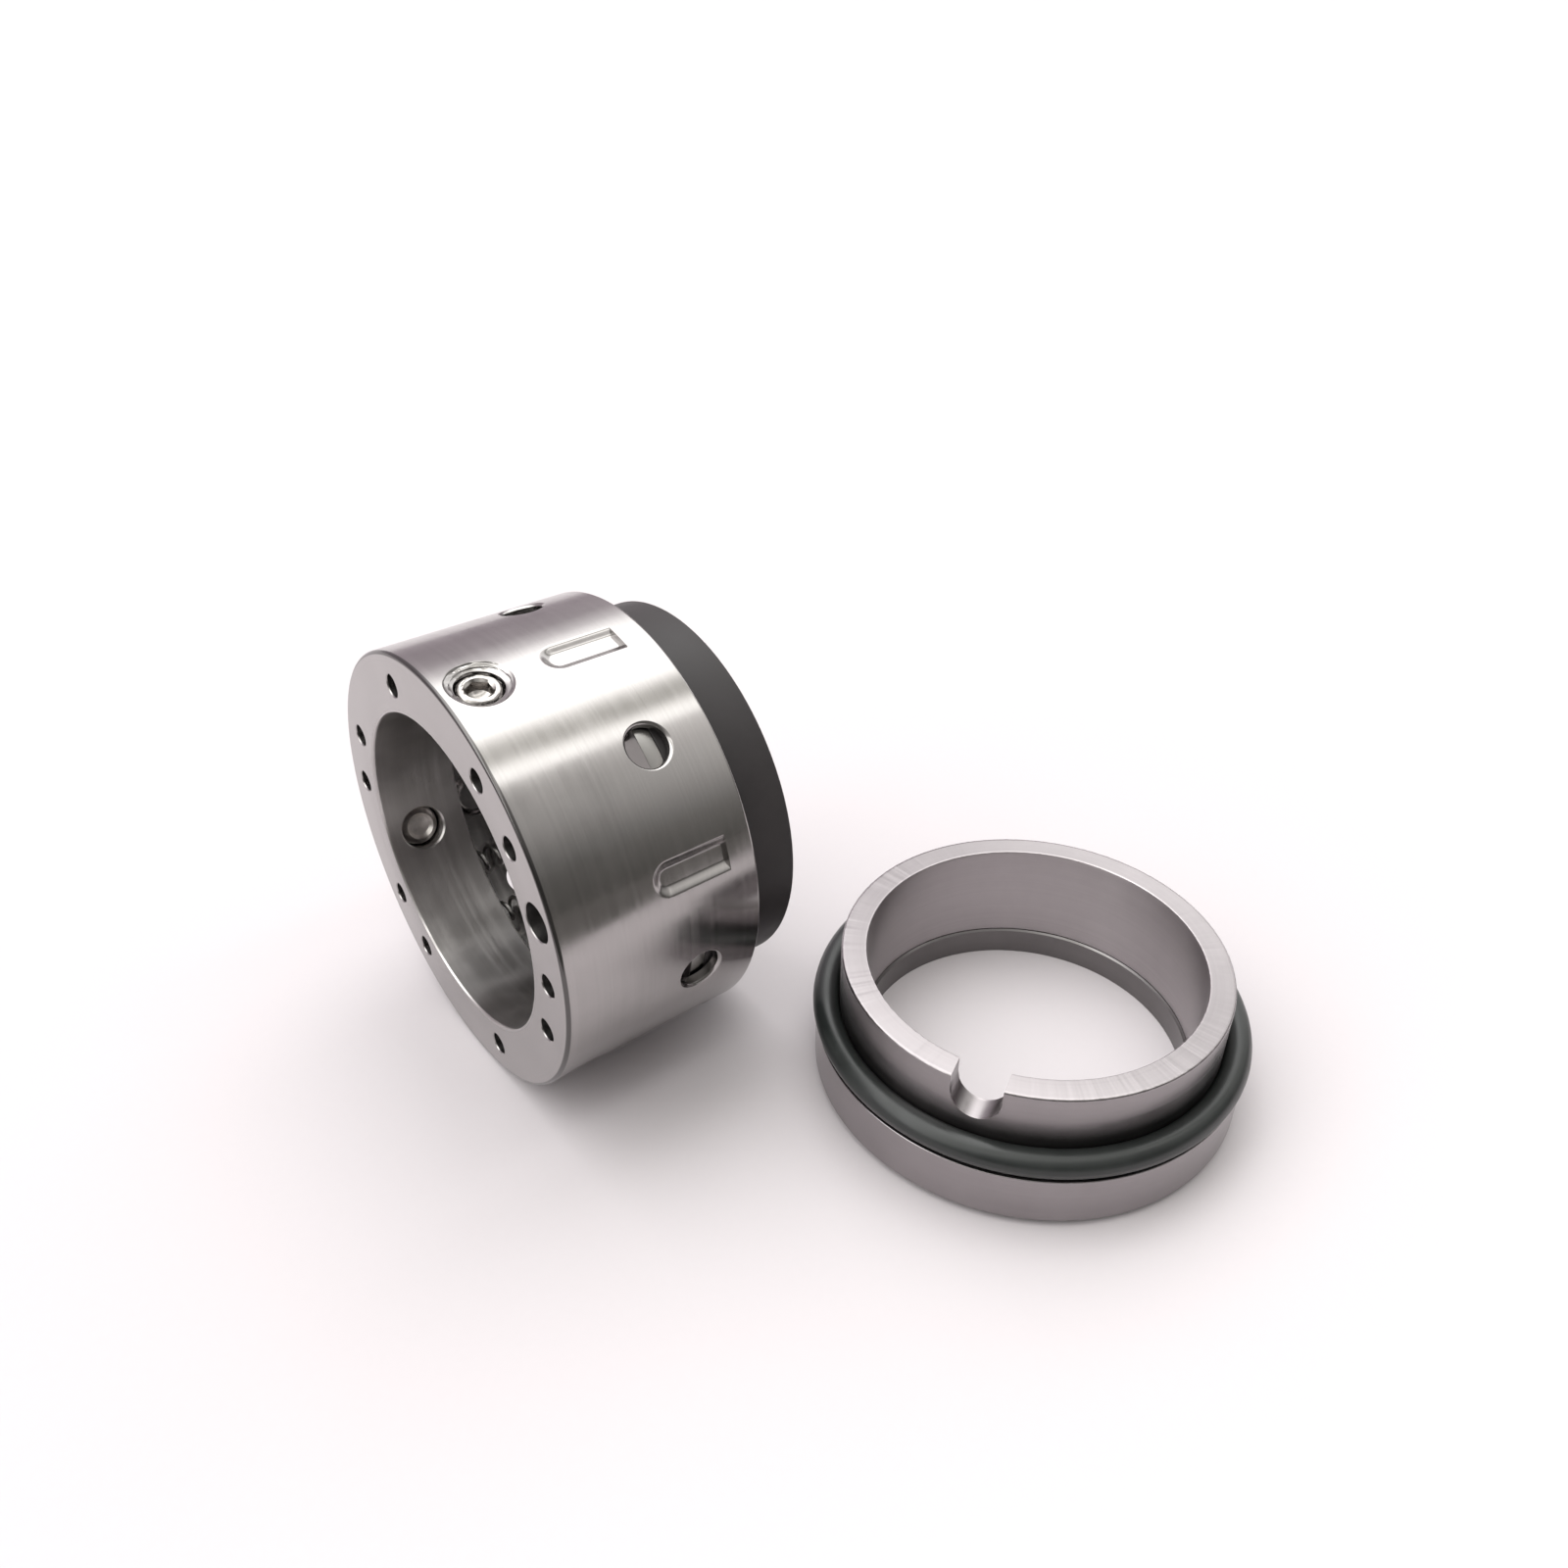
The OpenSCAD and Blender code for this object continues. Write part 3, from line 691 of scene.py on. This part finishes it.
def make_screw(number, angle):
    b = Builder()
    axis = radial_axis(SCREW_X, angle, SCREW_TIP_R)
    turn = turns(SCREW_SIDES)
    cup_r, cone = SCREW_POINT_R - SCREW_BEVEL, SCREW_R - SCREW_POINT_R
    rings = [(SCREW_BEVEL, cup_r), (0, SCREW_POINT_R - EDGE), (0, SCREW_POINT_R + EDGE)]
    for level in np.linspace(0.1, SCREW_LEN - 0.04, 70):
        thread = SCREW_R - SCREW_THREAD * thread_wave(level, turn)
        point = SCREW_POINT_R + EDGE + level / cone * (cone - EDGE)
        rings.append((level, np.minimum(thread, min(point, SCREW_R + SCREW_LEN - SCREW_BEVEL - level))))
    top_r, mouth = SCREW_R - SCREW_BEVEL, SOCKET_AF / 2 + SOCKET_MOUTH
    rings.append((SCREW_LEN, top_r - EDGE))

    # the worn socket end, the hexagon and its dished bottom
    for t in np.linspace(0.15, 0.95, 6):
        worn = uneven(turn + 2 * t, 0.05, (4, 6, 9, 11), (1, 2)) - 0.06
        rings.append((SCREW_LEN + worn, top_r + (mouth - top_r) * t))
    sixth = math.pi / 6
    hexagon = SOCKET_AF / 2 / np.cos((turn + sixth) % (2 * sixth) - sixth)
    floor = SCREW_LEN - SOCKET_DEPTH
    rings += [(SCREW_LEN - 0.05, mouth), (SCREW_LEN - 0.3, hexagon), (floor, hexagon)]
    steep = math.asin((SOCKET_AF / 2 - 0.05) / SOCKET_DISH)
    centre = floor + SOCKET_DISH * math.cos(steep)
    rings += [(centre - SOCKET_DISH * math.cos(t), SOCKET_DISH * math.sin(t))
              for t in np.linspace(steep, 0.06, 8)]
    ids = b.loft([axis.ring(along, r, turn) for along, r in rings])
    b.fan(ids[-1], axis.origin + (centre - SOCKET_DISH) * axis.along)
    b.fan(ids[0], axis.origin + (SCREW_BEVEL + 0.25) * axis.along)
    b.finish("set_screw_m6_%d" % number, "screw_steel", "screw_%d" % number, ["set_screw_%d" % number])


# Seat
SEAT_BORE_R, NECK_R, FLANGE_R, RIM_IN, RIM_H = bore_of("seat_bore"), 25.4, 28.5, 0.55, 1.1
FLANGE_TOP, SEAT_H, FOOT, BAND = 8.0, 18.5, 0.3, 9.0
CUP_R, CUP_Z = 25.97, 4.12
INSERT_BORE_R, INSERT_R, INSERT_T, INSERT_BEVEL = 21.75, 25.95, 4.1, 0.24
SEAT_NOTCH, SEAT_NOTCH_HALF, SEAT_NOTCH_DEPTH = math.radians(-153), 3.2, 5.4
NOTCH_MIDDLE = SEAT_H - SEAT_NOTCH_DEPTH + SEAT_NOTCH_HALF
SEAT_O_R, SEAT_O_AT = 1.775, 27.195
NOTCH_ACROSS = np.linspace(-SEAT_NOTCH_HALF, SEAT_NOTCH_HALF, 25)
ARC = 400
NECK_BEVEL, BORE_CHIP = (0.22, 0.07), (0.14, 0.06)
NECK, TOP, NOTCH_FLOOR, NOTCH_SIDE = 1, 50, 51, 52


def seat_columns(r):
    """Angles round the seat whose first columns cross the notch at the same places for every radius."""
    inner = np.arcsin(NOTCH_ACROSS / r)
    outer = np.linspace(inner[-1], TURN + inner[0], ARC)[1:-1]
    return SEAT_NOTCH + np.concatenate([inner, outer])


def make_seat_body():
    b = Builder()
    last = len(NOTCH_ACROSS) - 1
    dip = NOTCH_MIDDLE - np.sqrt(np.maximum(SEAT_NOTCH_HALF ** 2 - NOTCH_ACROSS ** 2, 0))
    top = np.concatenate([dip, np.full(ARC - 2, NOTCH_MIDDLE)])

    def wall(r):
        """A wall from a level line up to one that follows the notch's bottom."""
        levels = [BAND + (top - BAND) * t for t in np.linspace(0, 1, 9)]
        return b.loft([SEAT.ring(level, r, seat_columns(r)) for level in levels], NECK)

    outer, inner = wall(NECK_R), wall(SEAT_BORE_R)
    normals = {NECK: SEAT.normals((0, 1))}

    # the foot of the body, from the neck down round the flange and up the bore
    profile = [
        (BAND, NECK_R, 0), (FLANGE_TOP, NECK_R, 0.25), (FLANGE_TOP, FLANGE_R, 0.12),
        (RIM_H, FLANGE_R, 0.12), (RIM_H, FLANGE_R - RIM_IN, 0.1), (FOOT, FLANGE_R - RIM_IN, 0.2),
        (FOOT, CUP_R, 0.05), (CUP_Z, CUP_R, 0), (CUP_Z, SEAT_BORE_R, 0.12), (BAND, SEAT_BORE_R, 0),
    ]
    for points, way, centre in rounded(profile)[:-1]:
        kind = 1 + len(normals)
        normals[kind] = SEAT.normals(way, centre)
        b.loft([SEAT.ring(along, r, seat_columns(r)) for along, r in points], kind)

    # above the notch's middle, the neck is an open arc
    def arc(along, r):
        return b.add(SEAT.ring(along, r, np.roll(seat_columns(np.mean(r)), -last)[:ARC]))

    def arc_of(ids):
        return ids[last:] + ids[:1]

    angles = np.linspace(0, TURN, ARC)
    bevel = NECK_BEVEL[0] + uneven(angles, NECK_BEVEL[1])
    chip = BORE_CHIP[0] + uneven(angles + 1, BORE_CHIP[1])
    shares = [(1 - math.sin(t), 1 - math.cos(t)) for t in quarter(4)]
    rows = [(arc_of(outer[-1]), NECK), (arc(SEAT_H - 0.32, NECK_R), NECK)]
    rows += [(arc(SEAT_H - bevel * down, NECK_R - bevel * across), 0) for down, across in shares]
    rows += [(arc(SEAT_H, NECK_R - 0.45), 0), (arc(SEAT_H, SEAT_BORE_R + 0.35), TOP)]
    rows += [(arc(SEAT_H - chip * down, SEAT_BORE_R + chip * across), 0) for across, down in shares]
    rows += [(arc(SEAT_H - 0.3, SEAT_BORE_R), NECK), (arc_of(inner[-1]), NECK)]
    for (first, _), (second, kind) in zip(rows, rows[1:]):
        b.strip(first, second, kind, closed=False)

    # the notch: its round bottom and its two flat sides
    b.strip(outer[-1][:last + 1], inner[-1][:last + 1], NOTCH_FLOOR, closed=False)
    for end in (0, -1):
        b.face([ids[end] for ids, _ in rows], NOTCH_SIDE)
    side = np.array([-math.sin(SEAT_NOTCH), math.cos(SEAT_NOTCH), 0])

    def notch_normal(p):
        q = p - SEAT.origin
        return (q @ side)[:, None] * side + np.minimum(q[:, 2] - NOTCH_MIDDLE, 0)[:, None] * SEAT.along

    normals[TOP] = SEAT.normals((1, 0))
    normals[NOTCH_FLOOR] = notch_normal
    normals[NOTCH_SIDE] = lambda p: side + 0 * p
    b.finish("seat_shell", "seat_steel", "fixed", ["seat_body"], normals)


def make_seat():
    make_seat_body()
    turned_piece("seat_hard_face", SEAT, [
        (0, INSERT_BORE_R, 0.12), (0, INSERT_R, 0.12), (INSERT_T, INSERT_R, 0),
        (INSERT_T, INSERT_BORE_R + INSERT_BEVEL, 0.05), (INSERT_T - INSERT_BEVEL, INSERT_BORE_R, 0.05),
    ], "hard_face", "fixed", ["seat_insert"])
    make_o_ring("seat_sealing_ring", SEAT, FLANGE_TOP + 0.02 + SEAT_O_R, SEAT_O_AT, SEAT_O_R, "fixed",
                "seat_o_ring", 0.03)


# Materials
class Nodes:
    """Makes shader nodes in one tree. An input can be a number, a colour or another node's output."""

    def __init__(self, tree):
        self.tree = tree

    def make(self, kind, inputs, **settings):
        made = self.tree.nodes.new("ShaderNode" + kind)
        for key, value in settings.items():
            setattr(made, key, value)
        for key, value in inputs.items():
            self.feed(made.inputs[key], value)
        return made.outputs

    def feed(self, socket, value):
        if isinstance(value, bpy.types.NodeSocket):
            self.tree.links.new(value, socket)
        else:
            socket.default_value = value

    def math(self, operation, a, b=0.0):
        return self.make("Math", {0: a, 1: b}, operation=operation)[0]

    def add(self, a, b):
        return self.math("ADD", a, b)

    def times(self, a, b):
        return self.math("MULTIPLY", a, b)

    def vector(self, operation, a, b=(0, 0, 0)):
        return self.make("VectorMath", {0: a, 1: b}, operation=operation)[0]

    def scale(self, vector, factor):
        return self.make("VectorMath", {0: vector, "Scale": factor}, operation="SCALE")[0]

    def range(self, value, low, high, to_low, to_high):
        inputs = {"Value": value, "From Min": low, "From Max": high, "To Min": to_low, "To Max": to_high}
        return self.make("MapRange", inputs)["Result"]

    def noise(self, at, scale, detail=3.0, rough=0.55):
        inputs = {"Vector": at, "Scale": scale, "Detail": detail, "Roughness": rough}
        return self.make("TexNoise", inputs)["Fac"]

    def lines(self, at, scale, detail, rough=0.6):
        """Noise along one number."""
        inputs = {"W": at, "Scale": scale, "Detail": detail, "Roughness": rough}
        return self.make("TexNoise", inputs, noise_dimensions="1D")["Fac"]

    def bump(self, height, distance):
        return self.make("Bump", {"Strength": 1.0, "Distance": distance, "Height": height})["Normal"]

    def mix(self, share, a, b):
        return self.make("Mix", {"Factor": share, 6: (*a, 1), 7: (*b, 1)}, data_type="RGBA")[2]

    def ramp(self, value, stops):
        made = self.tree.nodes.new("ShaderNodeValToRGB")
        self.feed(made.inputs["Fac"], value)
        elements = made.color_ramp.elements
        while len(elements) < len(stops):
            elements.new(0.5)
        for element, (at, colour) in zip(elements, stops):
            element.position = at
            element.color = (*colour, 1)
        return made.outputs["Color"]

    def turned(self, axis):
        """Place in millimetres: distance along an axis, distance from it, and a vector from its origin."""
        at = self.make("TexCoord", {})["Object"]
        at = self.scale(self.vector("SUBTRACT", at, tuple(axis.origin * MM)), 1 / MM)
        parts = self.make("SeparateXYZ", {0: at})
        across = [self.times(parts[i], parts[i]) for i in range(3) if not axis.along[i]]
        return parts[int(axis.along.argmax())], self.math("SQRT", self.add(*across)), at


def new_material(name, **sockets):
    """A material, its shader's inputs and a maker of its nodes."""
    material = bpy.data.materials.new(name)
    material.use_nodes = True
    inputs = material.node_tree.nodes["Principled BSDF"].inputs
    for key, value in sockets.items():
        inputs[key.replace("_", " ")].default_value = value
    return material, inputs, Nodes(material.node_tree)


# A roughness that passes this value within a face leaves a line there in a denoised render
FINISH_STEP = 0.274


def one_sided(n, rough, coarse):
    """Roughness kept above the finish step where coarse is 1, and below it where coarse is 0."""
    least = n.math("MAXIMUM", rough, n.times(coarse, FINISH_STEP + 0.01))
    return n.math("MINIMUM", least, n.add(coarse, FINISH_STEP - 0.01))


def turned_steel(name, colour, rough, axis=SHAFT, marks=1.0, bore=None, rim=None, edge=None, chatter=None):
    """Steel off a lathe: fine rings, tool bands, and a faint cloudiness.

    bore is the radius of a rougher bore whose colour is made paler as painted light, and rim that of the
    edge at which its rough finish ends.
    edge gives the outer radius and the bevel of a rear corner that gets a painted dark line in place of its
    dark reflection, and chatter the height of a face that the tool left with radial marks.
    """
    material, inputs, n = new_material(name, Metallic=1.0, Anisotropic=0.65, Anisotropic_Rotation=0.25)
    along, radius, at = n.turned(axis)
    path = n.add(along, radius)
    fine = n.lines(path, 3.2, 2.0)
    bands = n.lines(path, 0.9, 3.0)
    cloud = n.noise(at, 0.16, 4.0)
    marked = n.add(n.range(bands, 0.3, 0.7, -0.025, 0.025), n.range(fine, 0.3, 0.7, -0.02, 0.02))
    shade = n.add(marked, n.range(cloud, 0.3, 0.7, 0.95, 1.05))
    grain = n.range(cloud, 0.3, 0.7, rough - 0.03, rough + 0.04)
    grain = n.add(n.range(bands, 0.25, 0.75, -0.03, 0.03), grain)
    if bore:
        # painted light: near the bore the colour is made up to 1.32 times paler, to light up the bore's
        # wall
        shade = n.times(shade, n.range(radius, bore + 0.08, bore + 0.3, 1.32, 1.0))
        grain = n.add(grain, n.range(radius, bore + 0.5, bore + 4.5, 0.12, 0.0))
    if edge:
        # painted shade: the rear bevel is darkened to 0.3 of its colour all round, a painted line standing
        # in for the bevel's dark reflection
        outer, bevel = edge
        corner = n.math("SUBTRACT", n.add(along, outer), radius)
        shade = n.times(shade, n.range(corner, 0.8 * bevel, bevel, 0.3, 1.0))
    n.feed(inputs["Base Color"], n.scale(colour, shade))
    coarse = n.range(radius, rim, rim + 0.03, 1.0, 0.0) if rim else 1.0
    n.feed(inputs["Roughness"], one_sided(n, grain, coarse))
    waves = n.lines(path, 0.7, 1.0, 0.5)
    if chatter:
        place = n.make("SeparateXYZ", {0: at})
        streaks = n.lines(n.math("ARCTAN2", place[1], place[0]), 15.0, 2.0)
        face = n.range(along, chatter - 0.06, chatter - 0.02, 0.0, 1.0)
        strength = n.range(n.noise(at, 0.09, 1.0), 0.42, 0.58, 8.0, 34.0)
        waves = n.add(waves, n.times(streaks, n.times(face, strength)))
    n.feed(inputs["Normal"], n.bump(waves, 0.0000025 * marks))
    n.feed(inputs["Tangent"], n.vector("NORMALIZE", n.vector("CROSS_PRODUCT", tuple(axis.along), at)))
    return material


def plain_metal(name, colour, rough, scale=2.0, painted_light_tip=None):
    """Drawn or ground metal: a little cloudiness in its colour and gloss, with fine scratches.

    tip is the distance from the shaft's axis within which it is rougher and has painted light: its colour
    is made up to 1.9 times paler.
    """
    material, inputs, n = new_material(name, Metallic=1.0)
    _, radius, at = n.turned(SHAFT)
    cloud = n.noise(at, scale, 4.0, 0.6)
    shade = n.range(cloud, 0.3, 0.7, 0.85, 1.1)
    grain = n.range(cloud, 0.3, 0.7, rough - 0.04, rough + 0.04)
    if painted_light_tip:
        # painted light: within this distance of the shaft's axis the colour is made up to 1.9 times paler,
        # to light up the screw's recessed cup point
        shade = n.times(shade, n.range(radius, painted_light_tip, painted_light_tip + 0.5, 1.9, 1.0))
        grain = n.add(grain, n.range(radius, painted_light_tip, painted_light_tip + 0.5, 0.14, 0.0))
    n.feed(inputs["Base Color"], n.scale(colour, shade))
    n.feed(inputs["Roughness"], grain)
    n.feed(inputs["Normal"], n.bump(n.noise(at, scale * 4), 0.000004))
    return material


def dark_solid(name, dark, light, rough, grain, marks, axis, ringed, specular):
    """A dark matte solid, such as carbon or rubber: fine grain, a faint bloom, and faint rings."""
    material, inputs, n = new_material(name, Metallic=0.0, Specular_IOR_Level=specular)
    along, radius, at = n.turned(axis)
    fine = n.noise(at, grain, 4.0, 0.65)
    bloom = n.noise(at, 0.22, 4.0, 0.6)
    share = n.add(n.times(fine, 0.35), n.times(bloom, 0.65))
    n.feed(inputs["Base Color"], n.mix(n.range(share, 0.35, 0.65, 0.0, 1.0), dark, light))
    n.feed(inputs["Roughness"], n.range(bloom, 0.3, 0.7, rough - 0.06, rough + 0.06))
    rings = n.times(n.lines(n.add(along, radius), 3.0, 3.0), ringed)
    n.feed(inputs["Normal"], n.bump(n.add(rings, fine), marks))
    return material


LOOKS = {
    # painted light: the retainer's and the seat's steel get a paler bore, and the retainer's steel a
    # painted dark line on its rear bevel
    "turned_steel": turned_steel("turned_steel", (0.375, 0.36, 0.355), 0.18, bore=BORE_R,
                                 rim=BORE_R + BORE_BEVEL, edge=(OUTER_R, REAR_BEVEL)),
    "seat_steel": turned_steel("seat_steel", (0.31, 0.288, 0.294), 0.22, SEAT, 0.5, bore=SEAT_BORE_R,
                               rim=NECK_R - 0.4, chatter=SEAT_H),
    "ring_steel": turned_steel("ring_steel", (0.34, 0.33, 0.32), 0.3),
    "hard_face": turned_steel("hard_face", (0.2, 0.19, 0.19), 0.3, SEAT, 0.3),
    "wire_steel": plain_metal("spring_wire", (0.36, 0.35, 0.34), 0.33),
    # painted light: the screw steel is paler at its cup point inside the bore
    "screw_steel": plain_metal("screw_steel", (0.4, 0.38, 0.365), 0.22, 1.2, painted_light_tip=SCREW_TIP_R + 1.2),
    "carbon": dark_solid("carbon", (0.031, 0.028, 0.029), (0.04, 0.036, 0.037), 0.5, 9.0, 0.000005,
                         SHAFT, ringed=0.5, specular=0.3),
    "rubber": dark_solid("rubber", (0.012, 0.0145, 0.014), (0.018, 0.021, 0.02), 0.34, 6.0, 0.000006,
                         SEAT, ringed=0.0, specular=0.5),
}
for part in frame["record"]["subparts"]:
    node_mesh = frame["nodes"][part["node"]].data
    node_mesh.materials.clear()
    node_mesh.materials.append(LOOKS[part["material_slot"]])

make_retainer()
make_rings()
make_o_ring("shaft_sealing_ring", SHAFT, SHAFT_O_X, SHAFT_O_AT, SHAFT_O_R, "face_unit",
            "shaft_o_ring", 0.02)
make_snap_ring()
make_springs()
for screw, screw_angle in enumerate(SCREW_ANGLES):
    make_screw(screw + 1, screw_angle)
make_seat()

# Camera: its place and direction come from lines of the photograph that were fitted to the part
CAMERA_AT = (-47.24, -127.48, 100.59)
CAMERA_FORWARD = (0.51889, 0.64920, -0.55614)
CAMERA_UP = (0.34036, 0.43989, 0.83105)
FOCAL_PIXELS = 1307.6
PHOTO_PIXELS = 1600
SENSOR = 36.0


def make_camera():
    forward, up = Vector(CAMERA_FORWARD).normalized(), Vector(CAMERA_UP).normalized()
    right = forward.cross(up).normalized()
    up = right.cross(forward)
    data = bpy.data.cameras.new("camera")
    data.sensor_width = SENSOR
    data.lens = SENSOR * FOCAL_PIXELS / PHOTO_PIXELS
    data.clip_start, data.clip_end = 0.005, 40
    camera = add_object("camera", data)
    turn = Matrix((right, up, -forward)).transposed().to_4x4()
    camera.matrix_world = Matrix.Translation(Vector(CAMERA_AT) * MM) @ turn
    bpy.context.scene.camera = camera


# Studio
FLOOR_SHADE, FLOOR_TINT, FLOOR_HALF = 0.61, (1.0, 0.945, 0.975), 6.0
BACKDROP_R, BACKDROP_TOP, BACKDROP_DROP = 5.6, 5.0, 0.2


def set_stage(name, mesh, height=0.0, **sockets):
    """Makes a piece of the studio, and returns it, its shader's inputs and a maker of its nodes."""
    piece = add_object(name, mesh)
    piece.location = (0, 0, height)
    material, inputs, n = new_material(name, Specular_IOR_Level=0.0, **sockets)
    mesh.materials.append(material)
    return piece, inputs, n


def flat_mesh(name, corners):
    mesh = bpy.data.meshes.new(name)
    mesh.from_pydata([(*c, 0) for c in corners], [], [tuple(range(len(corners)))])
    return mesh


def make_floor():
    corners = [(FLOOR_HALF * x, FLOOR_HALF * y) for x, y in ((-1, -1), (1, -1), (1, 1), (-1, 1))]
    _, inputs, n = set_stage("floor", flat_mesh("floor", corners), FLOOR_Z * MM, Roughness=0.9)
    paper = n.noise(n.make("TexCoord", {})["Object"], 900.0)
    pale = [tuple(FLOOR_SHADE * c * k for c in FLOOR_TINT) for k in (0.99, 1.01)]
    n.feed(inputs["Base Color"], n.mix(paper, *pale))


def make_flag():
    """A dark card over the floor on the camera's side, which only shows as a reflection in the pieces."""
    near, far, half = 0.086, 5.0, 6.0
    ahead, side = np.array([-0.624, -0.781]), np.array([0.781, -0.624])
    corners = [ahead * d + side * w for d, w in ((near, -half), (near, half), (far, half), (far, -half))]
    flag = set_stage("flag", flat_mesh("flag", corners), (FLOOR_Z + 0.5) * MM, Roughness=0.9,
                     Base_Color=(0.13, 0.125, 0.12, 1))[0]
    flag.visible_camera = flag.visible_diffuse = flag.visible_shadow = False


def make_backdrop():
    """A far pale dome that only the camera sees, so that the floor has no dark horizon from any side."""
    b = Builder()
    rings = []
    for t in np.linspace(0, 1.45, 9):
        r, height = BACKDROP_R * math.cos(t), BACKDROP_TOP * math.sin(t) - BACKDROP_DROP
        rings.append(np.insert(circle((0, 0), r, 64), 2, height, axis=1) / MM)
    b.fan(b.loft(rings)[-1], (0, 0, BACKDROP_TOP / MM))
    backdrop = set_stage("backdrop", b.mesh("backdrop"), Base_Color=(0, 0, 0, 1),
                         Emission_Color=(1.0, 0.98, 0.99, 1), Emission_Strength=1.0)[0]
    for ray in ("diffuse", "glossy", "transmission", "volume_scatter", "shadow"):
        setattr(backdrop, "visible_" + ray, False)


# Studio light by its angle over the shaft, in degrees from straight up, positive on the camera's side
SOFTBOX = [
    (-180, (0.62, 0.56, 0.60)), (-110, (0.62, 0.55, 0.59)), (-80, (0.56, 0.49, 0.53)),
    (-62, (0.75, 0.68, 0.72)), (-52, (1.45, 1.4, 1.42)), (-44, (2.9, 2.9, 2.88)),
    (-38, (3.6, 3.6, 3.56)), (-8, (3.6, 3.6, 3.54)),
    (-3, (3.0, 3.0, 2.92)), (2, (1.55, 1.54, 1.46)), (6, (1.1, 1.09, 1.02)), (11, (1.15, 1.14, 1.07)),
    (15, (2.6, 2.6, 2.5)), (18, (3.2, 3.2, 3.12)), (21, (2.9, 2.9, 2.82)), (24, (1.25, 1.23, 1.19)),
    (29, (0.8, 0.785, 0.76)), (34, (0.67, 0.655, 0.635)), (41, (0.61, 0.6, 0.58)), (50, (0.51, 0.5, 0.485)),
    (56, (0.42, 0.41, 0.395)), (64, (0.3, 0.295, 0.285)), (72, (0.2, 0.195, 0.185)),
    (96, (0.14, 0.135, 0.125)), (110, (0.4, 0.38, 0.38)), (180, (0.62, 0.56, 0.60)),
]
LIGHT = 4.0


def make_light():
    world = bpy.data.worlds.new("studio")
    bpy.context.scene.world = world
    world.use_nodes = True
    n = Nodes(world.node_tree)
    background = world.node_tree.nodes["Background"].inputs
    way = n.make("SeparateXYZ", {0: n.make("TexCoord", {})["Generated"]})
    angle = n.times(n.math("ARCTAN2", n.times(way[1], -1.0), way[2]), 360 / TURN)

    # the softbox's rear edge runs askew, and further back at its right end
    left = n.range(way[0], 0.3, 0.5, -4.5, 4.5)
    right = n.range(way[0], 0.52, 0.65, -13.0, 1.0)
    share = n.range(way[0], 0.47, 0.52, 0.0, 1.0)
    skew = n.add(n.times(left, n.math("SUBTRACT", 1.0, share)), n.times(right, share))
    skew = n.times(skew, n.range(angle, -20.0, 0.0, 1.0, 0.0))
    turn = n.add(n.math("DIVIDE", n.add(angle, skew), 360.0), 0.5)
    stops = [((a + 180) / 360, tuple(c / LIGHT for c in colour)) for a, colour in SOFTBOX]
    n.feed(background["Color"], n.ramp(turn, stops))

    # in front of the barrel the studio is lighter towards the seat
    window = n.times(n.range(angle, 22.0, 30.0, 0.0, 1.0), n.range(angle, 72.0, 92.0, 1.0, 0.0))
    lift = n.times(n.range(way[0], 0.385, 0.48, 0.0, 1.0), window)

    # the softbox fades towards its right end, less so at the rear
    fade = n.add(n.range(way[0], 0.54, 0.6, 1.0, 0.63), n.range(way[0], 0.6, 0.7, 0.0, -0.17))
    rear = n.times(n.range(angle, -36.0, -29.0, 0.15, 0.0), n.range(way[0], 0.56, 0.62, 0.0, 1.0))
    level = n.times(n.add(lift, 1.0), n.add(fade, rear))
    n.feed(background["Strength"], n.times(level, LIGHT))
    bpy.context.scene.view_settings.view_transform = "Standard"


make_camera()
make_floor()
make_flag()
make_backdrop()
make_light()
